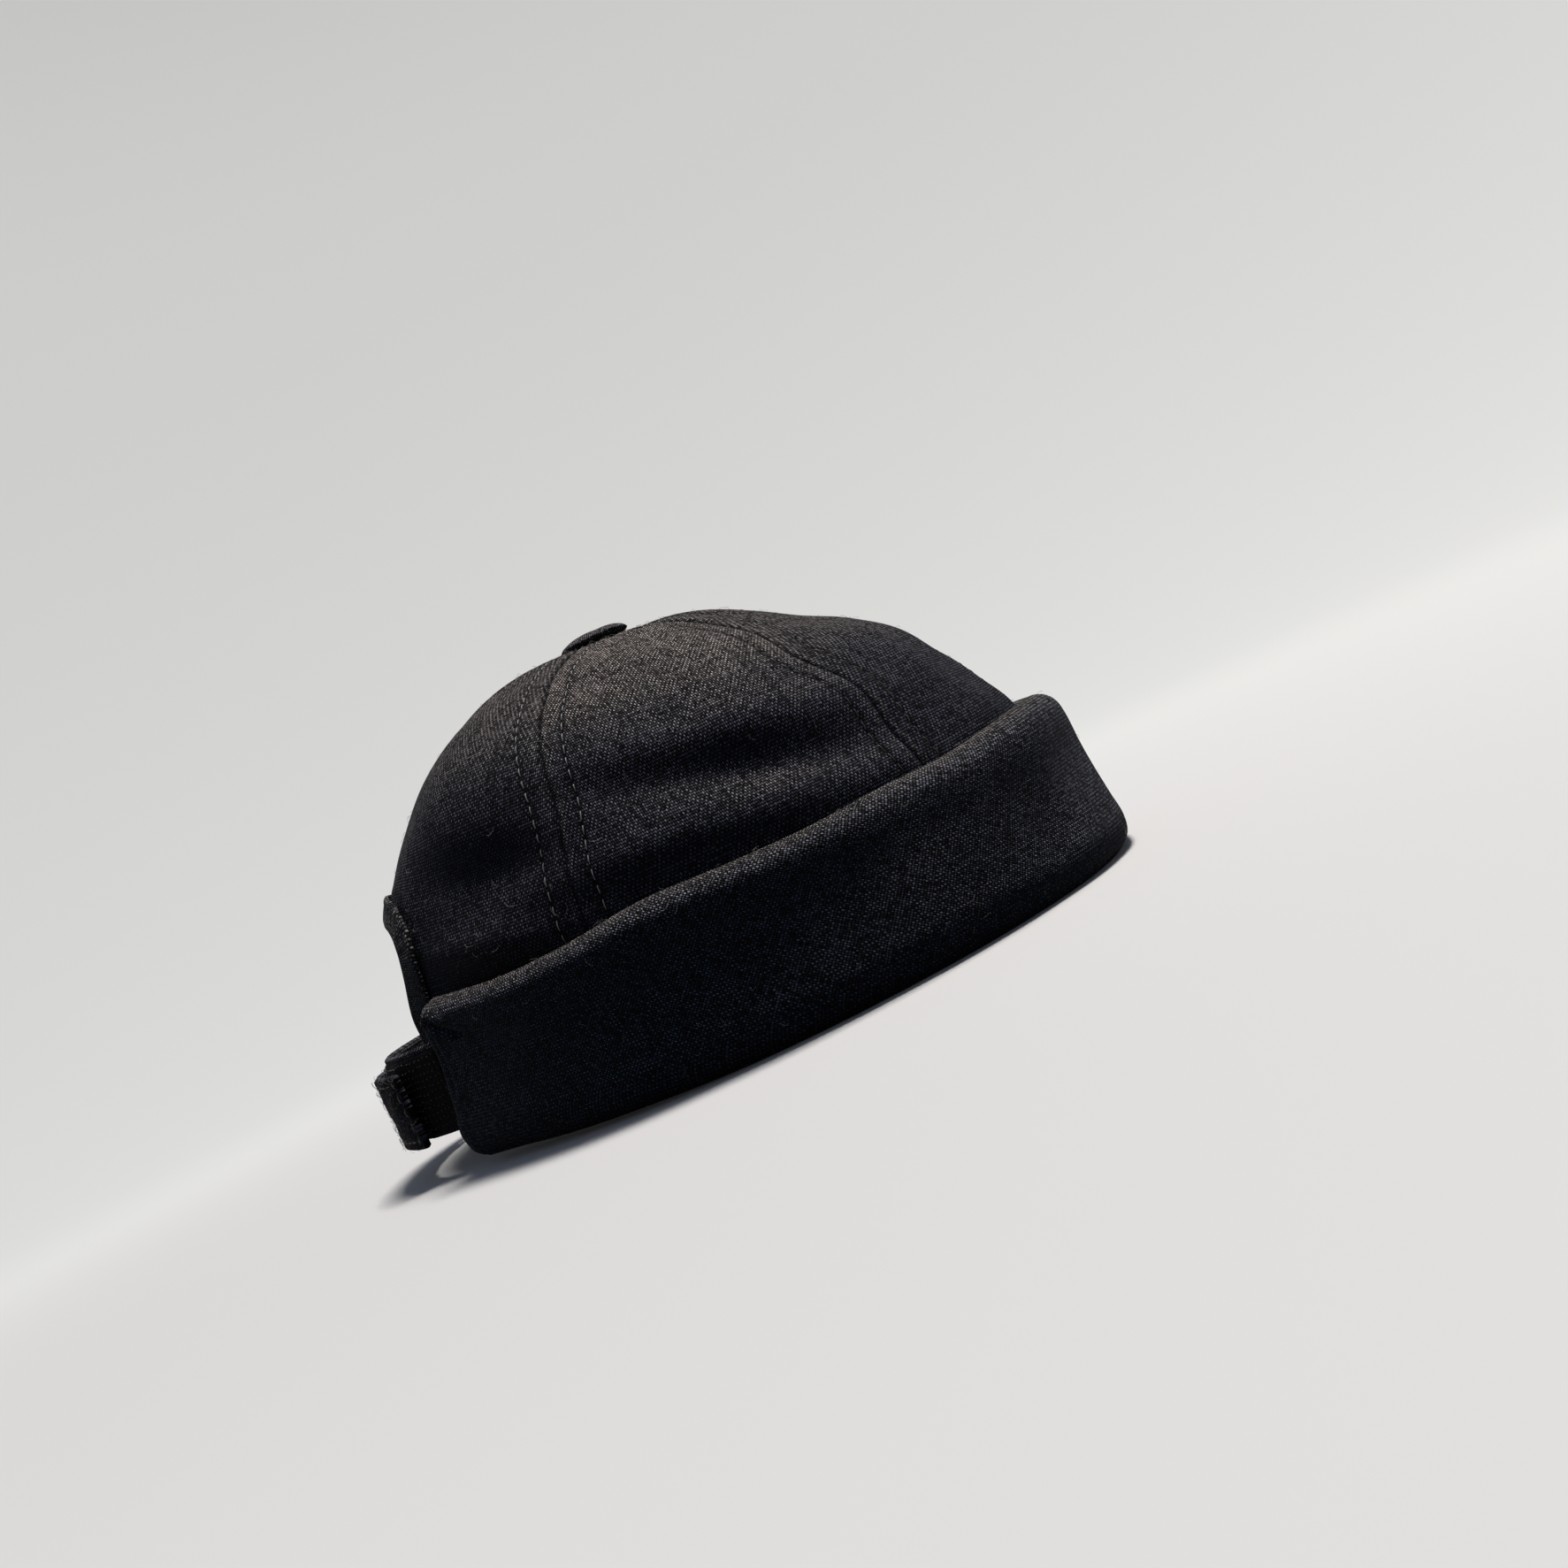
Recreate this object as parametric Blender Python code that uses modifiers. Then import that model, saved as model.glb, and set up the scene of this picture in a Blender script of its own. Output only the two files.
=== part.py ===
"""Docker beanie: six linen crown panels, a covered button, a turned-up cuff, a bound arched opening at the
back and a two-strap hook-and-loop adjuster.

Axes: +Z up, the forehead towards -Y, the wearer's left towards +X. Metres.
Every piece of cloth is an open sheet, bent by a function of its two directions and thickened by Solidify.
"""

from collections import namedtuple
from math import pi, radians

import bmesh
import bpy
import numpy as np
from mathutils import Vector

MM = 0.001

# Crown
HALF_LENGTH = 99.0 * MM  # from the rim oval's middle to the forehead
HALF_WIDTH = 86.0 * MM
CROWN_HEIGHT = 120.0 * MM
NARROWING = 0.03  # how much the oval narrows towards the forehead, as a share of its width
CLOTH = 1.2 * MM  # a panel's thickness, with its turned seam allowance
SEAM_GAP = 0.3 * MM
PANEL_PUFF = 1.2 * MM  # how far a panel swells between its seams
PUFF_FADE = 0.2  # share of a panel's length, next to the button, over which it flattens
SIDE_SEAM_FRONT = radians(50.0)  # azimuths of the seams, from the middle of the forehead
SIDE_SEAM_BACK = radians(108.5)

# Fit between pieces
GAP = 0.3 * MM

# Arched opening
ARCH_HALF_WIDTH = 37.5 * MM
ARCH_HEIGHT = 72.0 * MM
ARCH_SPRING = 56.0 * MM  # height at which the straight sides start to curve
ARCH_SQUARENESS = 3.0  # exponent of the arch's rounded shoulders, 2 for an ellipse
ARCH_STRAIGHT = 0.5  # the share of the rows beside the opening that lies below the curve
FLARE_SIDE = 7.0 * MM  # how far the opening's edge stands away from the head, at the sides
FLARE_TOP = 3.2 * MM  # and at the top
FLARE_LOW = 42.0 * MM  # between these heights the one passes into the other
FLARE_HIGH = 62.0 * MM
FLARE_REACH = 34.0 * MM  # distance from the edge at which the flare has died out
HEM_LIFT = 7.0 * MM  # how far the hem rises at the opening's two corners
HEM_LIFT_REACH = 16.0 * MM

# Binding of the opening
BINDING_WIDTH = 8.5 * MM
BINDING_TOP_WIDTH = 6.3 * MM
BINDING_CLOTH = 1.0 * MM
BINDING_GAP = 0.75 * MM

# Cuff
CUFF_HEIGHT = 49.0 * MM
CUFF_STAND = 10.0 * MM  # how far its face stands out from the crown
CUFF_CLOTH = 1.8 * MM
CUFF_SET_BACK = 4.8 * MM  # how far from the opening's edge the cuff's face stops, at its foot
CUFF_END_LEAN = 8.5 * MM  # how much further away its end is at the top
CUFF_INNER_SET_BACK = 6.5 * MM  # how much shorter its inner layer is, which clears the binding
CUFF_INNER_STAND = 0.25  # share of CUFF_STAND within which the cloth counts as the inner layer
CUFF_TOP_CORNER = 2.0 * MM  # radii of the corners of the cuff's two ends
CUFF_BOTTOM_CORNER = 9.0 * MM
CUFF_END_STAND = 0.86  # the share of its stand that the cuff keeps at its ends
CUFF_END_REACH = radians(24.0)

# Straps
STRAP_CLOTH = 2.0 * MM
INNER_STRAP_WIDTH = 24.0 * MM
OUTER_STRAP_WIDTH = 21.0 * MM
INNER_STRAP_BOTTOM = 12.0 * MM
OUTER_STRAP_BOTTOM = 11.0 * MM
STRAP_BULGE = 26.2 * MM  # how far the straps stand out behind their roots
STRAP_START = 4.5 * MM  # how far inside the cuff's end a strap starts to leave the crown
STRAP_ROOT = 8.0 * MM  # length of strap held between the cuff's layers before that
STRAP_ROOT_OUT = 0.44  # how far from the crown the strap lies in there, as a share of CUFF_STAND
PATCH_CLOTH = 1.0 * MM  # hook tape and loop tape
PATCH_MARGIN = 1.5 * MM  # strap that shows beside the tape

# Button
BUTTON_RADIUS = 10.8 * MM
BUTTON_THICKNESS = 3.6 * MM
BUTTON_TILT = radians(5.0)  # its front edge stands proud of the crown's slope
BUTTON_LIFT = 1.1 * MM
BUTTON_CLIMB = 0.92  # where on the crown's climb the button's rim lies
SHANK_RADIUS = 1.7 * MM
SHANK_LENGTH = 3.2 * MM

# Folds
CROWN_FOLD = 1.6 * MM
FOLD_FADE = 0.25  # share of CUFF_HEIGHT, below the cuff's top, over which the crown's folds die out

# A crown section, from the rim to the button. Reaches are shares of HALF_LENGTH or, at the side, of
# HALF_WIDTH. Heights are shares of CROWN_HEIGHT.
Section = namedtuple("Section", "front front_height side side_height back back_height")
CROWN_SECTIONS = (
    Section(1.000, 0.000, 1.000, 0.000, 0.990, 0.000),
    Section(0.995, 0.208, 1.012, 0.208, 0.995, 0.233),
    Section(0.965, 0.408, 1.000, 0.400, 0.995, 0.450),
    Section(0.897, 0.521, 0.965, 0.533, 0.975, 0.592),
    Section(0.816, 0.629, 0.901, 0.650, 0.921, 0.700),
    Section(0.713, 0.727, 0.802, 0.754, 0.838, 0.788),
    Section(0.572, 0.807, 0.663, 0.840, 0.733, 0.871),
    Section(0.414, 0.880, 0.506, 0.908, 0.600, 0.940),
    Section(0.263, 0.945, 0.343, 0.958, 0.457, 0.987),
    Section(0.091, 0.986, 0.174, 0.992, 0.287, 1.012),
    Section(-0.071, 0.997, 0.035, 1.000, 0.131, 1.005),
)

# How far the seams in front of and behind a side gore stray towards the back, in degrees, in equal steps of
# climb from the rim to the button.
SeamStray = namedtuple("SeamStray", "front back")
SIDE_SEAM_STRAYS = (
    SeamStray(4.0, 4.5),
    SeamStray(3.0, 3.5),
    SeamStray(2.0, 1.9),
    SeamStray(-0.2, 0.0),
    SeamStray(3.0, 0.0),
    SeamStray(-3.0, -1.2),
    SeamStray(-7.5, -1.7),
    SeamStray(-8.0, -1.5),
    SeamStray(-8.0, -1.5),
)

# A soft fold of the crown: its middle as an azimuth in degrees and a height as a share of CROWN_HEIGHT, its
# half-length in degrees, its half-width as a share of CROWN_HEIGHT, how much higher its end towards the back
# lies than its middle as a share of CROWN_HEIGHT, and its depth as a share of CROWN_FOLD, negative for a
# valley.
Fold = namedtuple("Fold", "azimuth height reach width slant depth")
CROWN_FOLDS = (
    Fold(80.0, 0.575, 28.0, 0.055, 0.095, -1.5),
    Fold(88.0, 0.470, 28.0, 0.055, 0.045, 1.2),
    Fold(74.0, 0.650, 30.0, 0.050, 0.060, 0.7),
    Fold(130.0, 0.440, 20.0, 0.050, 0.040, 1.8),
    Fold(128.0, 0.600, 20.0, 0.075, 0.040, -2.2),
    Fold(128.0, 0.830, 22.0, 0.090, 0.000, 1.3),
    Fold(20.0, 0.830, 22.0, 0.040, 0.000, -0.6),
)

# A point of the cuff's section, in the middle of its cloth, from the hem of the inner layer over the top
# fold and down the face to the edge that turns in under the crown. Out is a share of CUFF_STAND, up a share
# of CUFF_HEIGHT.
CuffPoint = namedtuple("CuffPoint", "out up")
CUFF_SECTION = (
    CuffPoint(0.16, 0.20),
    CuffPoint(0.16, 0.48),
    CuffPoint(0.17, 0.72),
    CuffPoint(0.20, 0.90),
    CuffPoint(0.30, 0.985),
    CuffPoint(0.50, 1.01),
    CuffPoint(0.76, 0.99),
    CuffPoint(0.94, 0.935),
    CuffPoint(0.95, 0.84),
    CuffPoint(0.87, 0.66),
    CuffPoint(0.88, 0.48),
    CuffPoint(0.96, 0.31),
    CuffPoint(1.04, 0.18),
    CuffPoint(0.96, 0.08),
    CuffPoint(0.74, 0.03),
    CuffPoint(0.45, 0.0),
    CuffPoint(0.18, 0.0),
    CuffPoint(-0.06, 0.0),
)

# A point of the binding's section, from the edge of its outer half around the opening's edge to the inner
# half. Into is a share of BINDING_WIDTH onto the panel, past and over are shares of the room around the
# panel's middle, past its edge and over its face.
BindingPoint = namedtuple("BindingPoint", "into past over")
BINDING_SECTION = (
    BindingPoint(1.0, 0.0, 1.0),
    BindingPoint(0.5, 0.0, 1.0),
    BindingPoint(0.0, 0.0, 1.0),
    BindingPoint(0.0, 0.8, 0.76),
    BindingPoint(0.0, 1.0, 0.0),
    BindingPoint(0.0, 0.8, -0.76),
    BindingPoint(0.0, 0.0, -1.0),
    BindingPoint(0.5, 0.0, -1.0),
    BindingPoint(1.0, 0.0, -1.0),
)

# A point of the button's profile: out is a share of BUTTON_RADIUS, up a share of BUTTON_THICKNESS.
ButtonPoint = namedtuple("ButtonPoint", "out up")
BUTTON_PROFILE = (
    ButtonPoint(0.0, 1.0),
    ButtonPoint(0.35, 0.97),
    ButtonPoint(0.65, 0.85),
    ButtonPoint(0.88, 0.62),
    ButtonPoint(0.99, 0.36),
    ButtonPoint(1.00, 0.20),
    ButtonPoint(0.93, 0.05),
    ButtonPoint(0.80, 0.0),
)

# The heights of the cuff's top fold and of its foot, as shares of CUFF_HEIGHT, in equal steps from the middle
# of the forehead to the cuff's end.
CuffEdge = namedtuple("CuffEdge", "top foot")
CUFF_EDGES = (
    CuffEdge(1.000, 0.0),
    CuffEdge(1.004, 0.0),
    CuffEdge(0.996, 0.0),
    CuffEdge(0.968, 0.0),
    CuffEdge(0.935, 0.0),
    CuffEdge(0.935, 0.0),
    CuffEdge(0.919, 0.0),
    CuffEdge(0.931, 0.0),
    CuffEdge(0.949, 0.006),
    CuffEdge(0.911, 0.020),
    CuffEdge(0.899, 0.032),
    CuffEdge(0.923, 0.046),
    CuffEdge(0.956, 0.052),
)

# A point of the straps' shared line, seen from above, from the cuff to the middle of the back: across is a
# share of the half-span between the cuff's ends, back a share of STRAP_BULGE.
StrapPoint = namedtuple("StrapPoint", "across back")
STRAP_LINE = (
    StrapPoint(1.000, 0.00),
    StrapPoint(0.950, 0.06),
    StrapPoint(0.880, 0.27),
    StrapPoint(0.720, 0.63),
    StrapPoint(0.480, 0.87),
    StrapPoint(0.240, 0.97),
    StrapPoint(0.000, 1.00),
)
INNER_STRAP_CROSSING = 0.38  # how far past the middle the inner strap goes, as a share of the line
OUTER_STRAP_CROSSING = 0.55
HOOK_PATCH_START = 0.80  # where each tape starts on its own side, as a share of the line
LOOP_PATCH_START = 0.35
PATCH_SHORTER = 0.05  # how far a tape ends before its strap, as a share of the line
STRAP_EASE_START = 0.10  # where a strap starts to take its place in the stack, as a share of its line
STRAP_EASE = 0.46

# Mesh counts
PANEL_COLUMNS = 7
PANEL_ROWS = 14
BACK_PANEL_COLUMNS = 9
BACK_PANEL_ROWS = 20
ARCH_ROWS = 12  # rows of a back panel beside the opening
EDGE_CROWDING = 1.5  # how much closer its columns lie beside the opening
CUFF_COLUMNS = 54
STRAP_COLUMNS = 18
STRAP_ROWS = 2
BUTTON_STEPS = 24
EDGE_POINTS = 60  # points along the opening's edge from which distances are measured
PATH_POINTS = 60  # points along a strap's line
ROOT_POINTS = 5

SMALL = 0.001  # step in azimuth and climb from which a surface's direction is taken
HALVINGS = 24  # steps of the search for the climb of a height
CORRECTIONS = 12  # steps of the search for a place at the back
EDGE_STEP = 0.01  # share of the opening's edge over which its direction is taken

LINEN = (0.0125, 0.0118, 0.0125, 1.0)
LINEN_SHADE = (0.0100, 0.0100, 0.0115, 1.0)
TAPE = (0.0060, 0.0060, 0.0070, 1.0)
ROUGHNESS = 0.9


def along(table, share):
    """Smooth values between a table's rows, at a share from 0 to 1 of its length."""
    rows = np.array(table, float)
    last = len(rows) - 1
    place = np.clip(np.asarray(share, float), 0.0, 1.0) * last
    row = np.minimum(place.astype(int), last - 1)
    part = (place - row)[..., None]
    ends = np.vstack([2 * rows[0] - rows[1], rows, 2 * rows[-1] - rows[-2]])
    before, start, end, after = (ends[row + k] for k in range(4))
    return 0.5 * (
        2 * start
        + (end - before) * part
        + (2 * before - 5 * start + 4 * end - after) * part**2
        + (3 * start - before - 3 * end + after) * part**3
    )


def plain_crown(azimuth, climb):
    """The crown without flare, puff or folds. Climb goes from 0 at the rim to 1 at the button."""
    azimuth, climb = np.broadcast_arrays(np.asarray(azimuth, float), np.asarray(climb, float))
    front, front_height, side, side_height, back, back_height = np.moveaxis(along(CROWN_SECTIONS, climb), -1, 0)
    c, s = np.cos(azimuth), np.sin(azimuth)
    reach = HALF_LENGTH * ((front - back) / 2 + (front + back) / 2 * c)
    across = HALF_WIDTH * side * s * (1 - NARROWING * c)
    height = side_height * s**2 + (front_height + back_height) / 2 * c**2 + (front_height - back_height) / 2 * c
    return np.stack([across, -reach, CROWN_HEIGHT * height], -1)


def smooth(share):
    """A share from 0 to 1 that starts and ends level."""
    share = np.clip(share, 0, 1)
    return share**2 * (3 - 2 * share)


def unit(vectors):
    """Directions of length 1."""
    return vectors / np.linalg.norm(vectors, axis=-1, keepdims=True)


def outward(surface, azimuth, climb):
    """A surface's outward direction, for a surface that is a function of azimuth and climb."""
    climb = np.clip(climb, SMALL, 1 - SMALL)
    turned = surface(azimuth + SMALL, climb) - surface(azimuth - SMALL, climb)
    raised = surface(azimuth, climb + SMALL) - surface(azimuth, climb - SMALL)
    return unit(np.cross(turned, raised))


def level(directions):
    """Directions made level."""
    return unit(directions * np.array([1.0, 1.0, 0.0]))


def moved(azimuth, climb, shift):
    """The azimuth and climb after a small shift along the crown."""
    turned = (plain_crown(azimuth + SMALL, climb) - plain_crown(azimuth - SMALL, climb)) / (2 * SMALL)
    raised = (plain_crown(azimuth, climb + SMALL) - plain_crown(azimuth, climb - SMALL)) / (2 * SMALL)
    turn = (shift * turned).sum(-1) / (turned**2).sum(-1)
    rise = (shift * raised).sum(-1) / (raised**2).sum(-1)
    return azimuth + turn, climb + rise


def turn_length(azimuth, climb):
    """Metres of cloth for each radian of azimuth."""
    turned = plain_crown(azimuth + SMALL, climb) - plain_crown(azimuth - SMALL, climb)
    return np.linalg.norm(turned, axis=-1) / (2 * SMALL)


def climb_at(azimuth, height):
    """The climb at which the crown has that height."""
    low = np.zeros(np.broadcast(azimuth, height).shape)
    high = np.ones(low.shape)
    for _ in range(HALVINGS):
        middle = (low + high) / 2
        under = plain_crown(azimuth, middle)[..., 2] < height
        low, high = np.where(under, middle, low), np.where(under, high, middle)
    return (low + high) / 2


def behind(across, height):
    """Azimuth and climb of the point of the crown's back at that place across and that height."""
    azimuth = np.full(np.broadcast(across, height).shape, pi)
    for _ in range(CORRECTIONS):
        climb = climb_at(azimuth, height)
        wide = HALF_WIDTH * along(CROWN_SECTIONS, climb)[..., 2] * (1 - NARROWING * np.cos(azimuth))
        azimuth = pi - np.arcsin(np.clip(across / wide, -1, 1))
    return azimuth, climb_at(azimuth, height)


def arch_edge(share):
    """Azimuth and climb along the left half of the opening's edge, from the rim (0) to its top (1)."""
    share = np.asarray(share, float)
    turn = np.clip((share - ARCH_STRAIGHT) / (1 - ARCH_STRAIGHT), 0, 1) * pi / 2
    power = 2 / ARCH_SQUARENESS
    across = ARCH_HALF_WIDTH * np.abs(np.cos(turn)) ** power
    across = np.where(share >= 1, 0.0, across)
    rise = (ARCH_HEIGHT - ARCH_SPRING) * np.sin(turn) ** power
    height = np.minimum(share / ARCH_STRAIGHT, 1) * ARCH_SPRING + rise
    return behind(across, height)


def edge_distance(points):
    """How far each point is from the edge of the opening."""
    line = plain_crown(*arch_edge(np.linspace(0, 1, EDGE_POINTS)))
    folded = np.abs(points * np.array([1.0, 0.0, 0.0])) + points * np.array([0.0, 1.0, 1.0])
    start, step = line[:-1], np.diff(line, axis=0)
    offset = folded[..., None, :] - start
    share = np.clip((offset * step).sum(-1) / (step**2).sum(-1), 0, 1)
    return np.linalg.norm(offset - share[..., None] * step, axis=-1).min(-1)


def flare(points):
    """How far the cloth stands away from the head near the opening."""
    fade = np.clip(1 - edge_distance(points) / FLARE_REACH, 0, 1) ** 2
    rise = smooth((points[..., 2] - FLARE_LOW) / (FLARE_HIGH - FLARE_LOW))
    return fade * (FLARE_SIDE + (FLARE_TOP - FLARE_SIDE) * rise)


def folds(azimuth, height):
    """The crown's soft folds, which fade out under the cuff."""
    degrees = np.degrees(np.abs(azimuth))
    total = 0.0
    for fold in CROWN_FOLDS:
        place = (degrees - fold.azimuth) / fold.reach
        rise = (height / CROWN_HEIGHT - fold.height - fold.slant * place) / fold.width
        total = total + fold.depth * np.exp(-(place**2) - rise**2)
    return CROWN_FOLD * total * smooth(1 - (1 - height / CUFF_HEIGHT) / FOLD_FADE)


def soft_crown(azimuth, climb):
    """The crown's outer face with its flare and folds."""
    points = plain_crown(azimuth, climb)
    out = flare(points) + folds(azimuth, points[..., 2])
    return points + outward(plain_crown, azimuth, climb) * out[..., None]


def crown(azimuth, climb, out=0.0):
    """Points at a distance out from the crown's outer face."""
    return soft_crown(azimuth, climb) + outward(soft_crown, azimuth, climb) * np.asarray(out)[..., None]


def hem_height(azimuth):
    """Height of the panels' lower edge, which rises beside the opening."""
    start = behind(ARCH_HALF_WIDTH, 0.0)[0]
    away = (start - np.abs(azimuth)) * turn_length(start, 0.0)
    lift = HEM_LIFT * np.clip(1 - away / HEM_LIFT_REACH, 0, 1) ** 2
    return CUFF_CLOTH + GAP + lift + cuff_edges(azimuth)[1] * CUFF_HEIGHT


def above_hem(azimuth, climb):
    """The climb again, squeezed so that it starts at the hem."""
    start = climb_at(azimuth, hem_height(azimuth))
    return start + (1 - start) * climb


def sheet(name, columns, rows, surface, cloth, middle=0.0):
    """A unit grid bent by surface(across, up) and thickened. Middle is Solidify's offset."""
    mesh = bpy.data.meshes.new(name)
    bm = bmesh.new()
    bmesh.ops.create_grid(bm, x_segments=columns, y_segments=rows, size=0.5)
    flat = np.array([v.co for v in bm.verts]) + 0.5
    for vert, place in zip(bm.verts, surface(flat[:, 0], flat[:, 1])):
        vert.co = place
    bm.to_mesh(mesh)
    bm.free()
    mesh.shade_smooth()
    piece = bpy.data.objects.new(name, mesh)
    wall = piece.modifiers.new("wall", "SOLIDIFY")
    wall.thickness = cloth
    wall.offset = middle
    return piece


def centre_seam(climb):
    """The azimuth of the seam in the middle of the forehead, which runs straight."""
    return 0.0 * climb


def front_side_seam(climb):
    """The azimuth of the seam between a front and a side gore."""
    return SIDE_SEAM_FRONT + np.radians(along(SIDE_SEAM_STRAYS, climb)[..., 0])


def back_side_seam(climb):
    """The azimuth of the seam between a side and a back gore."""
    return SIDE_SEAM_BACK + np.radians(along(SIDE_SEAM_STRAYS, climb)[..., 1])


def beside(edge, climb, towards):
    """A seam's or edge's azimuth, moved by half a gap towards the panel."""
    return edge + towards * SEAM_GAP / 2 / turn_length(edge, climb)


def panel_surface(hand, first, last):
    """A whole gore between two seams, on the wearer's left for a hand of 1."""

    def surface(across, up):
        share = across if hand > 0 else 1 - across
        climb = up
        start = beside(first(climb), climb, 1)
        end = beside(last(climb), climb, -1)
        azimuth = start + share * (end - start)
        return swollen(hand, azimuth, climb, share, up)

    return surface


def back_panel_surface(hand):
    """A back gore, whose middle side follows the opening's edge and then the centre seam."""

    def surface(across, up):
        share = 1 - (1 - (across if hand > 0 else 1 - across)) ** EDGE_CROWDING
        at_arch = ARCH_ROWS / BACK_PANEL_ROWS
        climbed = np.clip((up - at_arch) / (1 - at_arch), 0, 1)
        top = float(arch_edge(1.0)[1])
        edge_azimuth, edge_climb = arch_edge(np.clip(up / at_arch, 0, 1))
        end_climb = np.where(up <= at_arch, edge_climb, top + (1 - top) * climbed)
        end = beside(edge_azimuth, end_climb, -1)
        start_climb = np.where(up <= at_arch, up / at_arch * top, top + (1 - top) * climbed)
        start = beside(back_side_seam(start_climb), start_climb, 1)
        azimuth = start + share * (end - start)
        climb = start_climb + share * (end_climb - start_climb)
        return swollen(hand, azimuth, climb, share, up)

    return surface


def swollen(hand, azimuth, climb, share, up):
    """Points of a panel with its puff, on one side of the head."""
    climb = above_hem(azimuth, climb)
    plain = plain_crown(azimuth, climb)
    free = smooth(plain[..., 2] / CUFF_HEIGHT - 1) * smooth((1 - up) / PUFF_FADE)
    clear = smooth((edge_distance(plain) - BINDING_WIDTH) / FLARE_REACH)
    points = crown(azimuth, climb, PANEL_PUFF * 4 * share * (1 - share) * free * clear)
    return points * np.array([hand, 1.0, 1.0])


def cuff_end():
    """The azimuth at which the cuff stops beside the opening."""
    edge = behind(ARCH_HALF_WIDTH, 0.0)[0]
    return edge - CUFF_SET_BACK / turn_length(edge, 0.0)


def cuff_edges(azimuth):
    """The heights of the cuff's top and foot there, as shares of CUFF_HEIGHT, with no foot under the ground."""
    return np.maximum(np.moveaxis(along(CUFF_EDGES, np.abs(azimuth) / cuff_end()), -1, 0), 0)


def cuff_corner(height):
    """How far the cuff's end is rounded back at that height."""
    top = np.clip(1 - (CUFF_HEIGHT - height) / CUFF_TOP_CORNER, 0, 1)
    bottom = np.clip(1 - height / CUFF_BOTTOM_CORNER, 0, 1)
    return CUFF_TOP_CORNER * (1 - np.sqrt(1 - top**2)) + CUFF_BOTTOM_CORNER * (1 - np.sqrt(1 - bottom**2))


def cuff_surface(across, up):
    """The cuff's cloth, around the head and along its folded section."""
    out, height = np.moveaxis(along(CUFF_SECTION, up), -1, 0)
    height = np.maximum(height * CUFF_HEIGHT, CUFF_CLOTH / 2)
    end = cuff_end()
    low = np.clip(1 - height / CUFF_HEIGHT, 0, 1)
    shorter = cuff_corner(height) + CUFF_END_LEAN * (1 - low)
    shorter = np.maximum(shorter, CUFF_INNER_SET_BACK * np.clip(2 - out / CUFF_INNER_STAND, 0, 1))
    azimuth = (2 * across - 1) * (end - shorter / turn_length(end, 0.0))
    top, foot = cuff_edges(azimuth)
    near_end = np.clip(1 - (end - np.abs(azimuth)) / CUFF_END_REACH, 0, 1) ** 2
    stand = CUFF_STAND * (1 - (1 - CUFF_END_STAND) * near_end)
    away = np.maximum(out * stand, GAP + CUFF_CLOTH / 2)
    away = np.where(height > CUFF_CLOTH / 2, away, out * CUFF_STAND)
    side = np.where(azimuth < 0, -1.0, 1.0)
    turn = np.abs(azimuth)
    climb = climb_at(turn, height)
    points = plain_crown(turn, climb)
    points = points + level(outward(plain_crown, turn, climb)) * (flare(points) + away)[..., None]
    points[..., 2] = height * (1 - (1 - top) * (1 - low) ** 2) + foot * low * CUFF_HEIGHT
    return points * np.stack([side, np.ones_like(side), np.ones_like(side)], -1)


def binding_surface(across, up):
    """The binding, along the opening from corner to corner and around the panels' edge."""
    share = 1 - np.abs(2 * across - 1)
    side = np.where(across < 0.5, -1.0, 1.0)
    azimuth, climb = arch_edge(share)
    climb = np.maximum(climb, climb_at(azimuth, hem_height(azimuth)))
    before, after = np.maximum(share - EDGE_STEP, 0.0), np.minimum(share + EDGE_STEP, 1.0)
    run = unit(crown(*arch_edge(after)) - crown(*arch_edge(before)))
    run = np.where((share > 1 - EDGE_STEP)[..., None], np.array([-1.0, 0.0, 0.0]), run)
    inward = unit(np.cross(run, outward(soft_crown, azimuth, climb)))
    face = outward(soft_crown, *moved(azimuth, climb, -inward * BINDING_GAP))
    inward = unit(np.cross(run, face))
    room = CLOTH / 2 + BINDING_GAP + BINDING_CLOTH / 2
    into, past, over = np.moveaxis(along(BINDING_SECTION, up), -1, 0)
    width = BINDING_WIDTH + (BINDING_TOP_WIDTH - BINDING_WIDTH) * smooth(share / ARCH_STRAIGHT - 1)
    into = into * width - past * (room - CLOTH / 2)
    over = over * room - CLOTH / 2
    on_panel = crown(*moved(azimuth, climb, -inward * into[..., None]), over)
    past_edge = crown(azimuth, climb) - inward * into[..., None] + face * over[..., None]
    points = np.where((into > 0)[..., None], on_panel, past_edge)
    return points * np.stack([side, np.ones_like(side), np.ones_like(side)], -1)


def root_point(before):
    """A point of a strap between the cuff's layers, at a distance before the cuff's end."""
    height = INNER_STRAP_BOTTOM + INNER_STRAP_WIDTH / 2
    end = cuff_end()
    azimuth = end - before / turn_length(end, 0.0)
    climb = climb_at(azimuth, height)
    point = plain_crown(azimuth, climb)
    direction = level(outward(plain_crown, azimuth, climb))
    return (point + direction * (flare(point) + STRAP_ROOT_OUT * CUFF_STAND))[:2]


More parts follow.
